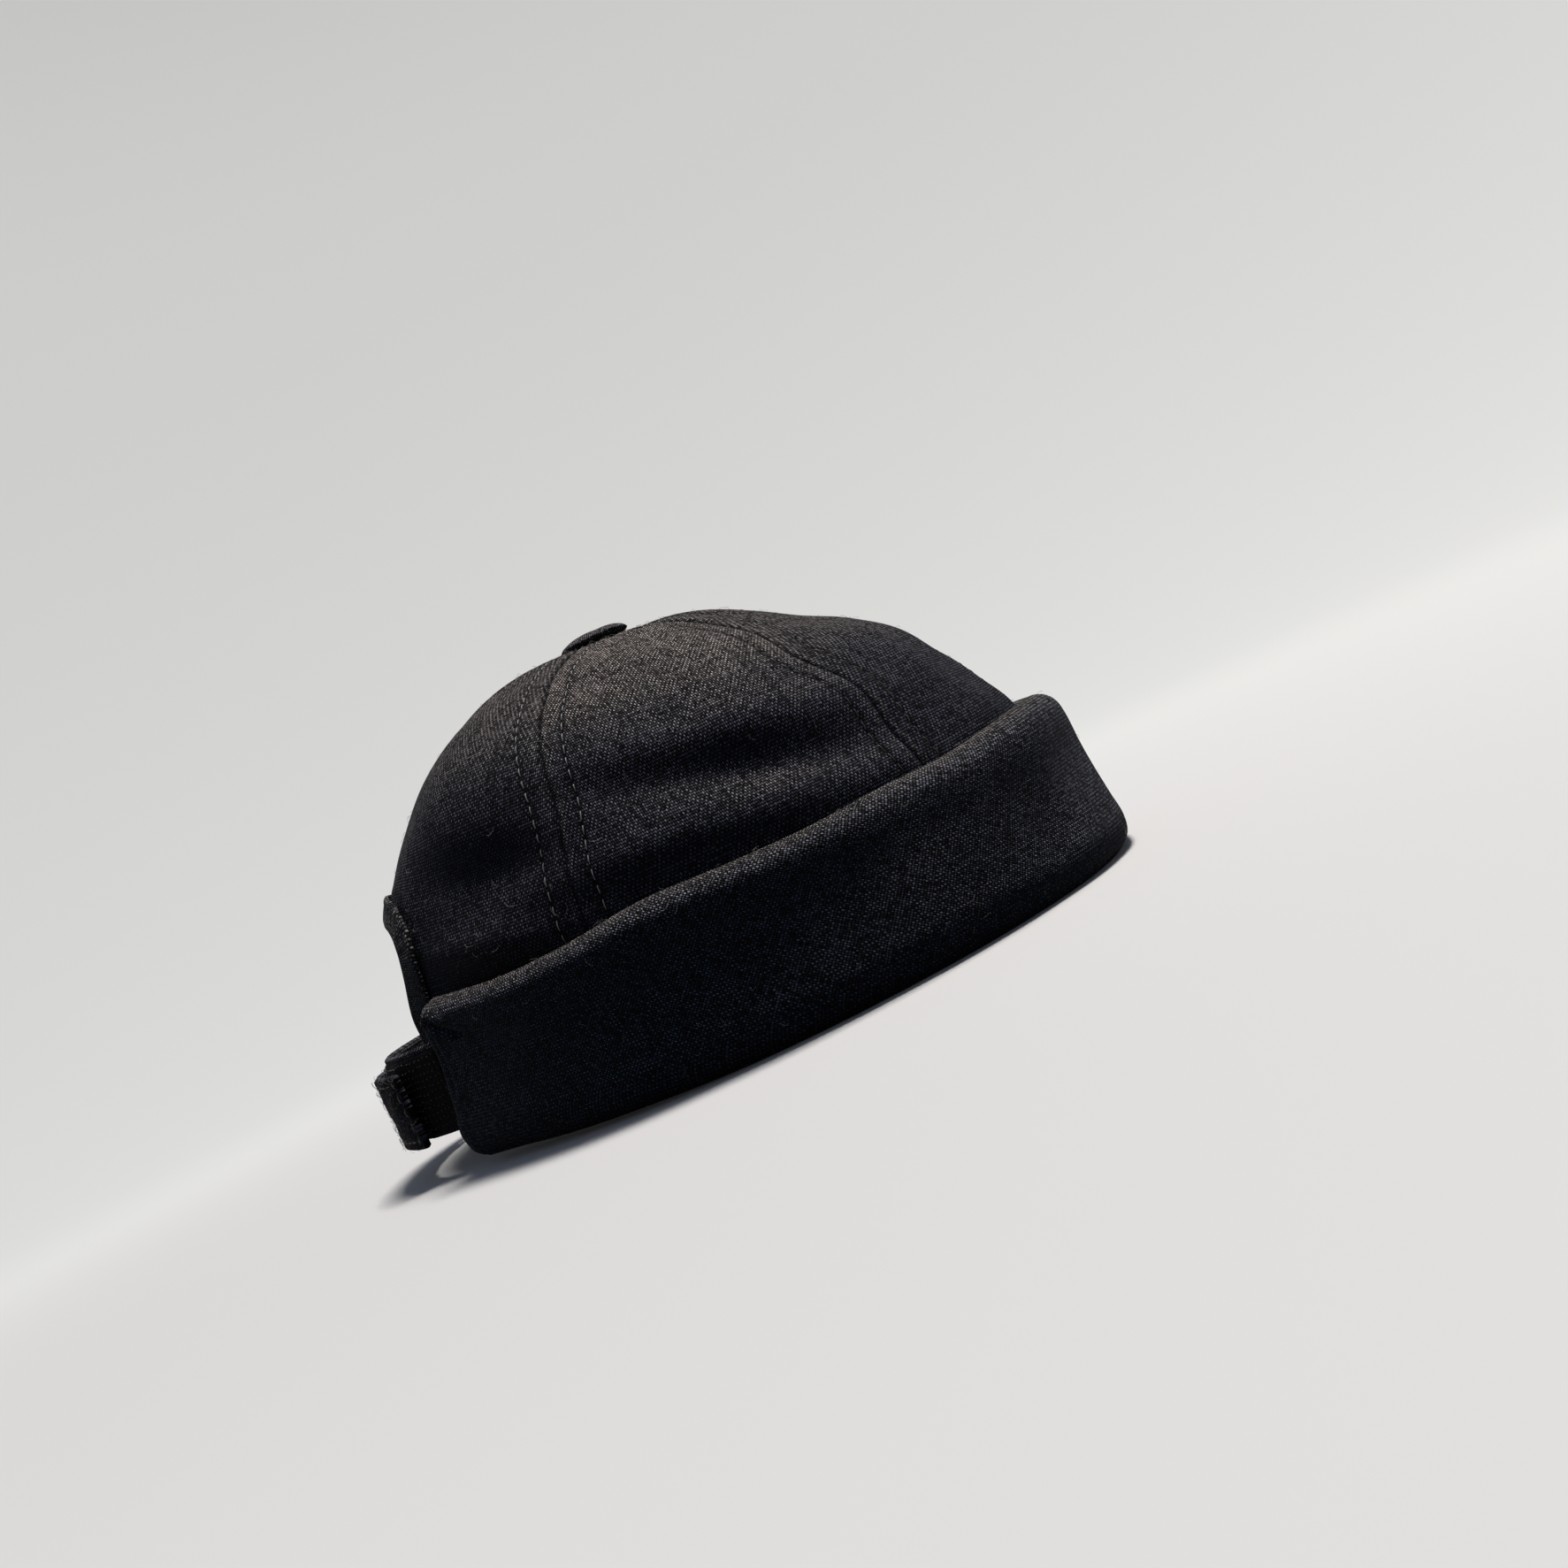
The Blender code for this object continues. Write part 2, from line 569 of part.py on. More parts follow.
def strap_path(start, crossing, out):
    """The left strap's line seen from above, moved out behind the line that both straps share.

    It runs from a share of the half-span on its own side (1 at the cuff) to a crossing on the other side.
    A line that starts at the cuff also has its root.
    """
    root = root_point(STRAP_START)
    shares = np.linspace(start, -crossing, PATH_POINTS)
    across, back = np.moveaxis(along(STRAP_LINE, 1 - np.abs(shares)), -1, 0)
    free = np.stack([np.sign(shares) * across * root[0], root[1] + back * STRAP_BULGE], -1)
    step = unit(np.gradient(free, axis=0))
    away = np.stack([step[:, 1], -step[:, 0]], -1)
    if start < 1.0:
        return free + away * out
    eased = smooth((1.0 - STRAP_EASE_START - shares) / STRAP_EASE)
    free = free + away * (out * eased)[:, None]
    held = np.linspace(STRAP_ROOT, 0.0, ROOT_POINTS, endpoint=False)
    return np.vstack([[root_point(STRAP_START + before) for before in held], free])


def strap_surface(hand, path, bottom, width):
    """A strap standing on edge along a path seen from above."""
    lengths = np.concatenate([[0.0], np.cumsum(np.linalg.norm(np.diff(path, axis=0), axis=1))])

    def surface(across, up):
        x = np.interp(across * lengths[-1], lengths, path[:, 0])
        y = np.interp(across * lengths[-1], lengths, path[:, 1])
        return np.stack([hand * x, y, bottom + up * width], -1)

    return surface


def button():
    """The covered button: a turned profile with a short shank, set on the crown's slope."""
    points = [(p.out * BUTTON_RADIUS, p.up * BUTTON_THICKNESS) for p in BUTTON_PROFILE]
    points += [(SHANK_RADIUS, 0.0), (SHANK_RADIUS, -SHANK_LENGTH), (0.0, -SHANK_LENGTH)]
    mesh = bpy.data.meshes.new("top_button")
    mesh.from_pydata([(r, 0.0, z) for r, z in points], [(i, i + 1) for i in range(len(points) - 1)], [])
    piece = bpy.data.objects.new("top_button", mesh)
    turn = piece.modifiers.new("turn", "SCREW")
    turn.steps = BUTTON_STEPS
    turn.render_steps = BUTTON_STEPS
    turn.use_merge_vertices = True
    turn.merge_threshold = 0.00001
    turn.use_smooth_shade = True
    front, back = plain_crown(0.0, BUTTON_CLIMB), plain_crown(pi, BUTTON_CLIMB)
    slope = float(np.arctan2(back[2] - front[2], back[1] - front[1]))
    middle = (plain_crown(0.0, 1.0) + plain_crown(pi, 1.0)) / 2
    piece.location = (0.0, middle[1], middle[2] + BUTTON_LIFT)
    piece.rotation_euler = (slope - BUTTON_TILT, 0.0, 0.0)
    return piece


def dressed(piece, colour):
    """Gives a piece its own material."""
    material = bpy.data.materials.new(piece.name)
    material.use_nodes = True
    shader = material.node_tree.nodes["Principled BSDF"]
    shader.inputs["Base Color"].default_value = colour
    shader.inputs["Roughness"].default_value = ROUGHNESS
    shader.inputs["Metallic"].default_value = 0.0
    piece.data.materials.append(material)
    return piece


def panels():
    """The six gores, with the wearer's right as -X."""
    made = []
    for side, hand in (("right", -1), ("left", 1)):
        surfaces = {
            "front": panel_surface(hand, centre_seam, front_side_seam),
            "side": panel_surface(hand, front_side_seam, back_side_seam),
            "back": back_panel_surface(hand),
        }
        for place, surface in surfaces.items():
            counts = (BACK_PANEL_COLUMNS, BACK_PANEL_ROWS) if place == "back" else (PANEL_COLUMNS, PANEL_ROWS)
            made.append(sheet(f"panel_{place}_{side}", *counts, surface, CLOTH, -1.0))
    return made


def straps():
    """The two straps and their tapes. The right one lies inside, with its hooks facing out."""
    hook_out = STRAP_CLOTH / 2 + GAP + PATCH_CLOTH / 2
    loop_out = hook_out + PATCH_CLOTH + GAP
    outer_out = loop_out + PATCH_CLOTH / 2 + GAP + STRAP_CLOTH / 2
    hook_end = INNER_STRAP_CROSSING - PATCH_SHORTER
    loop_end = OUTER_STRAP_CROSSING - PATCH_SHORTER
    lines = {
        "strap_right": (-1, strap_path(1.0, INNER_STRAP_CROSSING, 0.0), 0.0, STRAP_CLOTH),
        "strap_left": (1, strap_path(1.0, OUTER_STRAP_CROSSING, outer_out), 0.0, STRAP_CLOTH),
        "hook_patch": (-1, strap_path(HOOK_PATCH_START, hook_end, hook_out), PATCH_MARGIN, PATCH_CLOTH),
        "loop_patch": (1, strap_path(LOOP_PATCH_START, loop_end, loop_out), PATCH_MARGIN, PATCH_CLOTH),
    }
    made = []
    for name, (hand, path, margin, cloth) in lines.items():
        inner = hand < 0
        bottom = INNER_STRAP_BOTTOM if inner else OUTER_STRAP_BOTTOM
        width = INNER_STRAP_WIDTH if inner else OUTER_STRAP_WIDTH
        surface = strap_surface(hand, path, bottom + margin, width - 2 * margin)
        made.append(sheet(name, STRAP_COLUMNS, STRAP_ROWS, surface, cloth))
    return made


def centred(pieces):
    """Moves the pieces so that the middle of their box is over the origin."""
    bpy.context.view_layer.update()
    shapes = bpy.context.evaluated_depsgraph_get()
    corners = [
        piece.matrix_world @ Vector(corner) for piece in pieces for corner in piece.evaluated_get(shapes).bound_box
    ]
    low, high = np.min(corners, axis=0), np.max(corners, axis=0)
    for piece in pieces:
        piece.location -= Vector(((low[0] + high[0]) / 2, (low[1] + high[1]) / 2, low[2]))


def main():
    for old in list(bpy.data.objects):
        bpy.data.objects.remove(old)
    parts = bpy.data.collections.new("docker_beanie")
    bpy.context.scene.collection.children.link(parts)
    made = [dressed(panel, LINEN) for panel in panels()]
    made.append(dressed(sheet("cuff", CUFF_COLUMNS, len(CUFF_SECTION) - 1, cuff_surface, CUFF_CLOTH), LINEN))
    binding = sheet("arch_binding", 2 * ARCH_ROWS, len(BINDING_SECTION) - 1, binding_surface, BINDING_CLOTH)
    made.append(dressed(binding, LINEN_SHADE))
    made += [dressed(strap, TAPE if "patch" in strap.name else LINEN_SHADE) for strap in straps()]
    made.append(dressed(button(), LINEN))
    for piece in made:
        parts.objects.link(piece)
    centred(made)


if __name__ == "__main__":
    main()
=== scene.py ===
"""Docker beanie in black linen: crown gores, covered button, turned-up cuff, bound opening, straps.

Axes: +Z up, the forehead towards -Y, the wearer's left towards +X. Lengths in metres. Azimuth goes from the
middle of the forehead (0) to the middle of the back (pi), and climb from the rim (0) to the button (1).
"""

from __future__ import annotations

import logging
import math
from dataclasses import dataclass, field
from enum import Enum
from functools import cached_property
from typing import Callable, NamedTuple, Union

import bpy
import numpy as np
from mathutils import Matrix, Vector

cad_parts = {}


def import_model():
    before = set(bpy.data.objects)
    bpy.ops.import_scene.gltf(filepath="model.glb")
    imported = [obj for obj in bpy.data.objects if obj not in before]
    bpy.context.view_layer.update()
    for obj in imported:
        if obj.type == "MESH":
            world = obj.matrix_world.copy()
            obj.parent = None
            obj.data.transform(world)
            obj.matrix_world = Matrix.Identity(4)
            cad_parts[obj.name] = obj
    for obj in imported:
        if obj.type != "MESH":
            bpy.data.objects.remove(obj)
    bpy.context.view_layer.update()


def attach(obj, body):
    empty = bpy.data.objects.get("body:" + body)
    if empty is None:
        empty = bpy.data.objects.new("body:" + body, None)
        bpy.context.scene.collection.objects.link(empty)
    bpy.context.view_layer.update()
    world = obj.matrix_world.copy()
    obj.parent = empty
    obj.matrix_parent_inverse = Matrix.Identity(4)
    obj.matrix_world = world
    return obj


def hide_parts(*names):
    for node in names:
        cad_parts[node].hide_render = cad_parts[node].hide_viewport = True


LOG = logging.getLogger("docker_beanie")
MM = 0.001
RIM_MIDDLE = np.array([0.0, -6.38434 * MM, 0.0])  # the rim oval's middle, from the frame's origin
WEAVE = "weave"  # the UV map that holds the place on the flat cloth, in metres
WEAR_AND_SHADE = "wear"  # how much an edge or a ridge is rubbed, up to 1, or below 0 how much painted shade darkens a groove
PAINTED_TOP_LIGHT = "fade"  # how much painted top light the cloth gets, from 0 to 1: up-facing cloth is painted lighter and warmer, as if lit from above
FACE = "face"  # the direction out of the cloth, on the lines that stitches follow
PAINTED_LIGHT_START = 0.35  # the upward share of a face's direction from which painted top light starts
CUFF_HEIGHT = 49.0 * MM
GAP = 0.3 * MM  # between cloths that lie on each other
STITCH_LIFT = 0.10 * MM  # how far over the crown's cloth its stitches run
FIBRE_LIFT = 0.08 * MM
STITCH = {"Pitch": 3.9 * MM, "Length": 2.7 * MM, "Width": 0.34 * MM, "Rise": 0.24 * MM}
LOOSE_FIBRE = {"Length": 2.3 * MM, "Rise": 0.35 * MM, "Width": 0.065 * MM}
FACE_STEP = 0.002  # the shares of a piece over which its direction out is measured
TINY = 1e-12  # the least length that a direction is divided by
RIPPLE_LENGTHS = (0.7, 1.6)  # the shortest and the longest ripple, in middle lengths

Array = np.ndarray
Surface = Callable[[Array, Array], Array]
Colour = tuple[float, float, float, float]
Span = tuple[float, float]  # a number at its least and at its most


class Side(Enum):
    """The wearer's side, as the sign of X."""

    RIGHT = -1
    LEFT = 1


class Place(Enum):
    """Where on the crown a gore lies."""

    FRONT = "front"
    SIDE = "side"
    BACK = "back"


class Hold(Enum):
    """How a piece of cloth is held, in the frame's words."""

    FOLDED = "folded"
    LAID = "laid"
    STRETCHED = "stretched"


class Section(NamedTuple):
    """A section of the crown: reaches and heights as shares, at the front, side and back."""

    front: float
    front_height: float
    side: float
    side_height: float
    back: float
    back_height: float


class Stray(NamedTuple):
    """How far the two side seams stray towards the back at a climb, in degrees."""

    front: float
    back: float


class Fold(NamedTuple):
    """A soft fold of the crown: azimuth and reach in degrees, the rest as shares."""

    azimuth: float
    height: float
    reach: float
    width: float
    slant: float
    depth: float


class Pair(NamedTuple):
    """A point of a profile, as two shares."""

    out: float
    up: float


class Edge(NamedTuple):
    """The cuff's top and foot, from the forehead to its end, as shares of its height."""

    top: float
    foot: float


class BindingPoint(NamedTuple):
    """A point of the binding's section: onto the panel, past its edge and over its face."""

    into: float
    past: float
    over: float


class StitchLine(NamedTuple):
    """A line of topstitching: its gore, which of the gore's seams, its thread, and its ends as shares."""

    place: Place
    far: bool
    pale: bool
    low: float
    high: float


class Shed(NamedTuple):
    """How many loose fibres lie on a piece, and the seed of their places."""

    count: int
    seed: int

    def places(self, spans: tuple[Span, Span]) -> tuple[Array, Array]:
        """Random shares across and up a face, within the two spans."""
        chance = np.random.default_rng(self.seed)
        across, up = (chance.uniform(*span, self.count) for span in spans)
        return across, up


class Lamp(NamedTuple):
    """A square soft light: its name, place, size, power and colour."""

    name: str
    place: tuple[float, float, float]
    size: float
    power: float
    colour: tuple[float, float, float]


class StrapSize(NamedTuple):
    """The side that a strap comes from, the height of its lower edge and its width."""

    side: Side
    bottom: float
    width: float


class Wear(NamedTuple):
    """A line of wear or shade: its distance from a seam or stitch line, its width and its depth."""

    distance: float
    width: float
    depth: float

    def on(self, away: Array) -> Array:
        """The wear at those distances."""
        return self.depth * bell(away - self.distance, self.width)


class Crease(NamedTuple):
    """A crease of the cuff, in metres: from and to, as distance from the end and depth under the top."""

    start_along: float
    start_down: float
    end_along: float
    end_down: float
    width: float
    depth: float


def along(table: object, share: Array) -> Array:
    """Smooth values between a table's rows.

    Args:
        table: rows of numbers, one for each equal step.
        share: places from 0 to 1 of the table's length.

    Returns:
        One row of values for each place.
    """
    rows = np.array(table, float)
    last = len(rows) - 1
    place = np.clip(np.asarray(share, float), 0.0, 1.0) * last
    row = np.minimum(place.astype(int), last - 1)
    part = (place - row)[..., None]
    ends = np.vstack([2 * rows[0] - rows[1], rows, 2 * rows[-1] - rows[-2]])
    before, start, end, after = (ends[row + k] for k in range(4))
    return 0.5 * (
        2 * start
        + (end - before) * part
        + (2 * before - 5 * start + 4 * end - after) * part**2
        + (3 * start - before - 3 * end + after) * part**3
    )


def smooth(share: Array) -> Array:
    """A share from 0 to 1 that starts and ends level."""
    share = np.clip(share, 0, 1)
    return share**2 * (3 - 2 * share)


def unit(vectors: Array) -> Array:
    """Directions of length 1."""
    return vectors / np.maximum(np.linalg.norm(vectors, axis=-1, keepdims=True), TINY)


def bell(distance: Array, width: float) -> Array:
    """A soft bump that is 1 at no distance."""
    return np.exp(-((distance / width) ** 2))


def level(directions: Array) -> Array:
    """Directions made level."""
    return unit(directions * np.array([1.0, 1.0, 0.0]))


def mirrored(points: Array, side: Array) -> Array:
    """Points of the wearer's left taken to the side with that sign."""
    sign = np.broadcast_to(np.asarray(side, float), points.shape[:-1])
    return points * np.stack([sign, np.ones_like(sign), np.ones_like(sign)], -1)


def ripples(points: Array, wavelength: float, seed: int, count: int = 9) -> Array:
    """The slight unevenness of soft cloth, as waves in seeded directions.

    Args:
        points: places in space.
        wavelength: the middle length of the waves.
        seed: seed of the directions, lengths and phases.
        count: how many waves are added up.

    Returns:
        Values mostly from -1 to 1.
    """
    chance = np.random.default_rng(seed)
    directions = unit(chance.normal(size=(count, 3)))
    lengths = wavelength * chance.uniform(*RIPPLE_LENGTHS, count)
    phases = chance.uniform(0, 2 * math.pi, count)
    waves = points @ (directions / lengths[:, None]).T * 2 * math.pi + phases
    return np.sin(waves).sum(-1) / math.sqrt(count)


def out_of(net: Array) -> Array:
    """Directions out of a net of points, with columns to the right and rows upwards."""
    return unit(np.cross(np.gradient(net, axis=1), np.gradient(net, axis=0)))


def run_along(points: Array) -> Array:
    """How far along a line each of its points lies."""
    return np.concatenate([[0.0], np.cumsum(np.linalg.norm(np.diff(points, axis=0), axis=1))])


def turned_faces(rings: int, steps: int) -> Array:
    """The faces between the rings of points of a form that is round about an axis."""
    index = np.arange(rings * steps).reshape(rings, steps)
    after = np.roll(index, -1, axis=1)
    return np.stack([index[:-1], index[1:], after[1:], after[:-1]], -1).reshape(-1, 4)


def placed(name: str, data: bpy.types.ID) -> bpy.types.Object:
    """A new object in the scene."""
    made = bpy.data.objects.new(name, data)
    bpy.context.scene.collection.objects.link(made)
    return made


def facing(surface: Surface, across: Array, up: Array, step: float) -> Array:
    """A surface's outward direction, if its first share runs to the right and its second upwards."""
    turned = surface(across + step, up) - surface(across - step, up)
    raised = surface(across, up + step) - surface(across, up - step)
    return unit(np.cross(turned, raised))


def mark(mesh: bpy.types.Mesh, name: str, shares: Array) -> None:
    """Gives each vertex of a mesh a number."""
    mesh.attributes.new(name, "FLOAT", "POINT").data.foreach_set("value", shares)


def stepped(*stretches: tuple[float, float, int]) -> Array:
    """Shares in rising order, from stretches of (start, end, steps) that follow on each other."""
    parts = [np.linspace(start, end, steps, endpoint=False) for start, end, steps in stretches]
    return np.concatenate([*parts, [stretches[-1][1]]])


class Wire:
    """A node's output that takes part in Python expressions."""

    def __init__(self, net: NodeNet, socket: bpy.types.NodeSocket) -> None:
        """Wraps a socket of a net."""
        self.net = net
        self.socket = socket

    def __add__(self, other: Value) -> Wire:
        """The sum."""
        return self.net.number("ADD", self, other)

    __radd__ = __add__

    def __sub__(self, other: Value) -> Wire:
        """The difference."""
        return self.net.number("SUBTRACT", self, other)

    def __rsub__(self, other: Value) -> Wire:
        """The difference the other way round."""
        return self.net.number("SUBTRACT", other, self)

    def __mul__(self, other: Value) -> Wire:
        """The product."""
        return self.net.number("MULTIPLY", self, other)

    __rmul__ = __mul__

    def __truediv__(self, other: Value) -> Wire:
        """The quotient."""
        return self.net.number("DIVIDE", self, other)


Value = Union[Wire, float, tuple, bpy.types.ID]


class NodeNet:
    """A node tree, with the one method that adds a node to it."""

    def __init__(self, tree: bpy.types.NodeTree) -> None:
        """Works on a tree."""
        self.tree = tree

    def feed(self, node: bpy.types.Node, inputs: dict[Union[int, str], Value]) -> None:
        """Sets or links a node's sockets."""
        for key, value in inputs.items():
            if isinstance(value, Wire):
                self.tree.links.new(value.socket, node.inputs[key])
            else:
                node.inputs[key].default_value = value

    def add(
        self,
        kind: str,
        inputs: dict[Union[int, str], Value],
        settings: dict[str, object] | None = None,
        output: Union[int, str] = 0,
    ) -> Wire:
        """Adds a node.

        Args:
            kind: the node's type.
            inputs: values or wires by socket.
            settings: attributes of the node, which are set first.
            output: the socket that comes back.

        Returns:
            The node's output.
        """
        node = self.tree.nodes.new(kind)
        for key, value in (settings or {}).items():
            setattr(node, key, value)
        self.feed(node, inputs)
        return Wire(self, node.outputs[output])

    def number(self, operation: str, *values: Value) -> Wire:
        """Adds a Math node."""
        return self.add("ShaderNodeMath", dict(enumerate(values)), {"operation": operation})

    def noise(self, place: Wire, scale: float, detail: float, roughness: float = 0.5) -> Wire:
        """Adds cloudy noise around 0.5."""
        inputs = {"Vector": place, "Scale": scale, "Detail": detail, "Roughness": roughness}
        return self.add("ShaderNodeTexNoise", inputs, output="Fac")

    def vector(self, x: Value, y: Value, z: Value = 0.0) -> Wire:
        """Adds a vector made of three numbers."""
        return self.add("ShaderNodeCombineXYZ", {0: x, 1: y, 2: z})

    def parts(self, vector: Wire) -> list[Wire]:
        """Adds the three numbers of a vector."""
        split = self.tree.nodes.new("ShaderNodeSeparateXYZ")
        self.feed(split, {0: vector})
        return [Wire(self, socket) for socket in split.outputs]

    def between(self, share: Wire, start: Value, end: Value) -> Wire:
        """Adds a mix of two colours."""
        settings = {"data_type": "RGBA", "clamp_factor": True}
        return self.add("ShaderNodeMix", {"Factor": share, 6: start, 7: end}, settings, 2)

    def spread(self, share: Wire, span: Span) -> Wire:
        """Takes a share from 0 to 1 to the numbers of a span."""
        return share * (span[1] - span[0]) + span[0]

    def eased(self, value: Wire, span: Span) -> Wire:
        """Adds a soft step from 0 to 1 over a span of the value."""
        inputs = {"Value": value, "From Min": span[0], "From Max": span[1]}
        return self.add("ShaderNodeMapRange", inputs, {"interpolation_type": "SMOOTHSTEP"})

    def shown(self, value: Wire) -> Wire:
        """The value, or 0 where it is less."""
        return self.number("MAXIMUM", value, 0.0)

    def attribute(self, name: str) -> Wire:
        """Adds a number that the mesh holds."""
        return self.add("ShaderNodeAttribute", {}, {"attribute_name": name}, "Fac")

    def flat_place(self) -> Wire:
        """Adds the place on the flat cloth."""
        return self.add("ShaderNodeUVMap", {}, {"uv_map": WEAVE})

    def own_place(self) -> Wire:
        """Adds the place in the object's own coordinates."""
        return self.add("ShaderNodeTexCoord", {}, output="Object")

    def bump(self, strength: float, distance: float, height: Wire) -> Wire:
        """Adds a relief."""
        return self.add("ShaderNodeBump", {"Strength": strength, "Distance": distance, "Height": height})


@dataclass(frozen=True)
class Finish:
    """A material, made once and shared by the pieces that wear it."""

    name: str
    slot: str

    def dress(self, net: NodeNet, shader: bpy.types.Node) -> None:
        """Fills the shader's sockets."""
        raise NotImplementedError

    def material(self) -> bpy.types.Material:
        """The finish as a material."""
        made = bpy.data.materials.get(self.name)
        if made is None:
            made = bpy.data.materials.new(self.name)
            made.use_nodes = True
            self.dress(NodeNet(made.node_tree), made.node_tree.nodes["Principled BSDF"])
        return made


@dataclass(frozen=True)
class Linen(Finish):
    """Plain-woven linen, whose threads are thick and thin by turns."""

    thread: Colour
    # Painted top light: the lighter, warmer colour that up-facing cloth is given, as if lit from above.
    painted_top_light: Colour = (0.480, 0.447, 0.428, 1.0)
    rubbed: Colour = (0.420, 0.385, 0.365, 1.0)
    # Painted shade: the near-black colour between the threads stands for the shadow in the weave's gaps.
    gap: Colour = (0.0004, 0.0004, 0.0008, 1.0)
    fibre: Colour = (0.32, 0.31, 0.30, 1.0)
    fibre_chance: float = 0.0003  # of each crossing of threads
    fibre_share: float = 0.5
    warp: float = 0.60 * MM  # from thread to thread
    weft: float = 0.85 * MM
    turn: float = 0.0  # how far the cloth is turned on the piece, in radians
    wander: float = 0.35  # how far threads stray sideways, in threads
    wander_scale: float = 40.0
    slub_length: float = 10 * MM
    thickness: Span = (0.5, 1.2)  # of a thread, as a share of the room that it has
    under: float = 0.15  # how high a thread stays where it passes under
    shown: Span = (0.38, 0.92)  # the heights between which a thread comes out of the gap; lower down it is painted in the gap's shade
    slub_tone: Span = (-1.0, 2.6)  # how light the thin and the thick stretches are
    crossing_tone: Span = (0.1, 1.9)  # how light one crossing of threads is beside another
    cloud_tone: Span = (0.7, 1.3)  # how light one patch of cloth is beside another
    cloud_scale: float = 45.0
    weft_share: float = 0.25  # how light the weft is beside the warp; its darker tone is painted shade, as if the light fell on it less
    row_gap: float = 0.9  # how dark the gaps between the rows of weft are, as painted shade
    relief: float = 0.12 * MM
    relief_share: float = 0.9
    slub_rise: float = 0.3
    rough: float = 0.9
    gloss: float = 0.05

    SEEDS = (7.31, 100.0)  # keep the noise of threads, and of warp and weft, apart

    def threads(
        self, net: NodeNet, across: Wire, length: Wire, step: float, lift: float
    ) -> tuple[Wire, Wire]:
        """One of the two sets of threads.

        Args:
            net: the material's nodes.
            across: place across the threads, in threads.
            length: place along them, in threads of the other set.
            step: from thread to thread of the other set.
            lift: 0 for the warp, 1 for the weft, which passes under where the warp passes over.

        Returns:
            The threads' height and how thick each of them is.
        """
        index = net.number("FLOOR", across)
        middle = net.number("FRACT", across) * 2.0 - 1.0
        wave = net.number("COSINE", (length - 0.5 + index + lift) * math.pi) * 0.5 + 0.5
        run = net.vector(index * self.SEEDS[0] + lift * self.SEEDS[1], length * (step / self.slub_length))
        slub = net.noise(run, scale=1.0, detail=3.0, roughness=0.75)
        side = middle / net.spread(slub, self.thickness)
        return net.shown(1.0 - side * side) * net.spread(wave, (self.under, 1.0)), slub

    def dress(self, net: NodeNet, shader: bpy.types.Node) -> None:
        """Weave, slubs, painted top light on up-facing cloth, rubbed cloth, painted shade in the weave's
        gaps and in grooves, and a few pale fibres.
        """
        turned = {"Vector": net.flat_place(), "Rotation": (0.0, 0.0, self.turn)}
        place = net.add("ShaderNodeMapping", turned)
        bend = (net.noise(place, self.wander_scale, detail=1.0) - 0.5) * self.wander
        x, y, _ = net.parts(place)
        across = x * (1 / self.warp) + bend
        length = y * (1 / self.weft) - bend
        warp, warp_slub = self.threads(net, across, length, self.weft, 0.0)
        weft, weft_slub = self.threads(net, length, across, self.warp, 1.0)
        height = net.number("MAXIMUM", warp, weft)
        on_warp = net.number("GREATER_THAN", warp, weft)
        slub = warp_slub * on_warp + weft_slub * (1.0 - on_warp)
        cell = net.vector(net.number("FLOOR", across), net.number("FLOOR", length))
        chance = net.add("ShaderNodeTexWhiteNoise", {"Vector": cell}, {"noise_dimensions": "2D"})
        cloud = net.noise(place, self.cloud_scale, detail=2.0)
        tone = net.spread(slub, self.slub_tone) * net.spread(chance, self.crossing_tone)
        tone = tone * net.spread(cloud, self.cloud_tone) * net.spread(on_warp, (self.weft_share, 1.0))
        # The woven pattern is the cloth's own; only the threads' tops keep their colour, and the gaps and
        # rows between the weft are painted in shade.
        row = net.number("FRACT", length) * 2.0 - 1.0
        bare = net.eased(height, self.shown) * (1.0 - row * row * self.row_gap)
        # Below 0 the wear attribute is painted shade, which darkens the cloth in the seams' and stitches'
        # grooves.
        wear = net.attribute(WEAR_AND_SHADE)
        groove = net.number("MINIMUM", wear, 0.0) + 1.0
        shade = net.number("MINIMUM", net.shown(bare * tone * groove), 1.0)
        # Painted top light: cloth that faces up is mixed towards a lighter, warmer colour.
        thread = net.between(net.attribute(PAINTED_TOP_LIGHT), self.thread, self.painted_top_light)
        colour = net.between(wear * shade, net.between(shade, self.gap, thread), self.rubbed)
        speck = net.number("GREATER_THAN", chance, 1.0 - self.fibre_chance) * self.fibre_share
        inputs = {
            "Base Color": net.between(speck, colour, self.fibre),
            "Roughness": self.rough,
            "Normal": net.bump(self.relief_share, self.relief, height + slub * self.slub_rise),
            "Specular IOR Level": self.gloss,
        }
        net.feed(shader, inputs)


@dataclass(frozen=True)
class Thread(Finish):
    """Sewing thread or a loose fibre, whose tone changes along it."""

    colour: Colour
    rough: float = 0.5
    tone_scale: float = 260.0
    twist_scale: float = 3200.0
    dark_share: float = 0.3
    relief: float = 0.05 * MM
    relief_share: float = 0.5

    def dress(self, net: NodeNet, shader: bpy.types.Node) -> None:
        """A thread with a changing tone."""
        place = net.own_place()
        tone = net.noise(place, self.tone_scale, detail=2.0)
        dark = tuple(self.dark_share * part for part in self.colour[:3]) + (1.0,)
        twist = net.noise(place, self.twist_scale, detail=1.0)
        bump = net.bump(self.relief_share, self.relief, twist)
        colour = net.between(tone, dark, self.colour)
        net.feed(shader, {"Base Color": colour, "Roughness": self.rough, "Normal": bump})


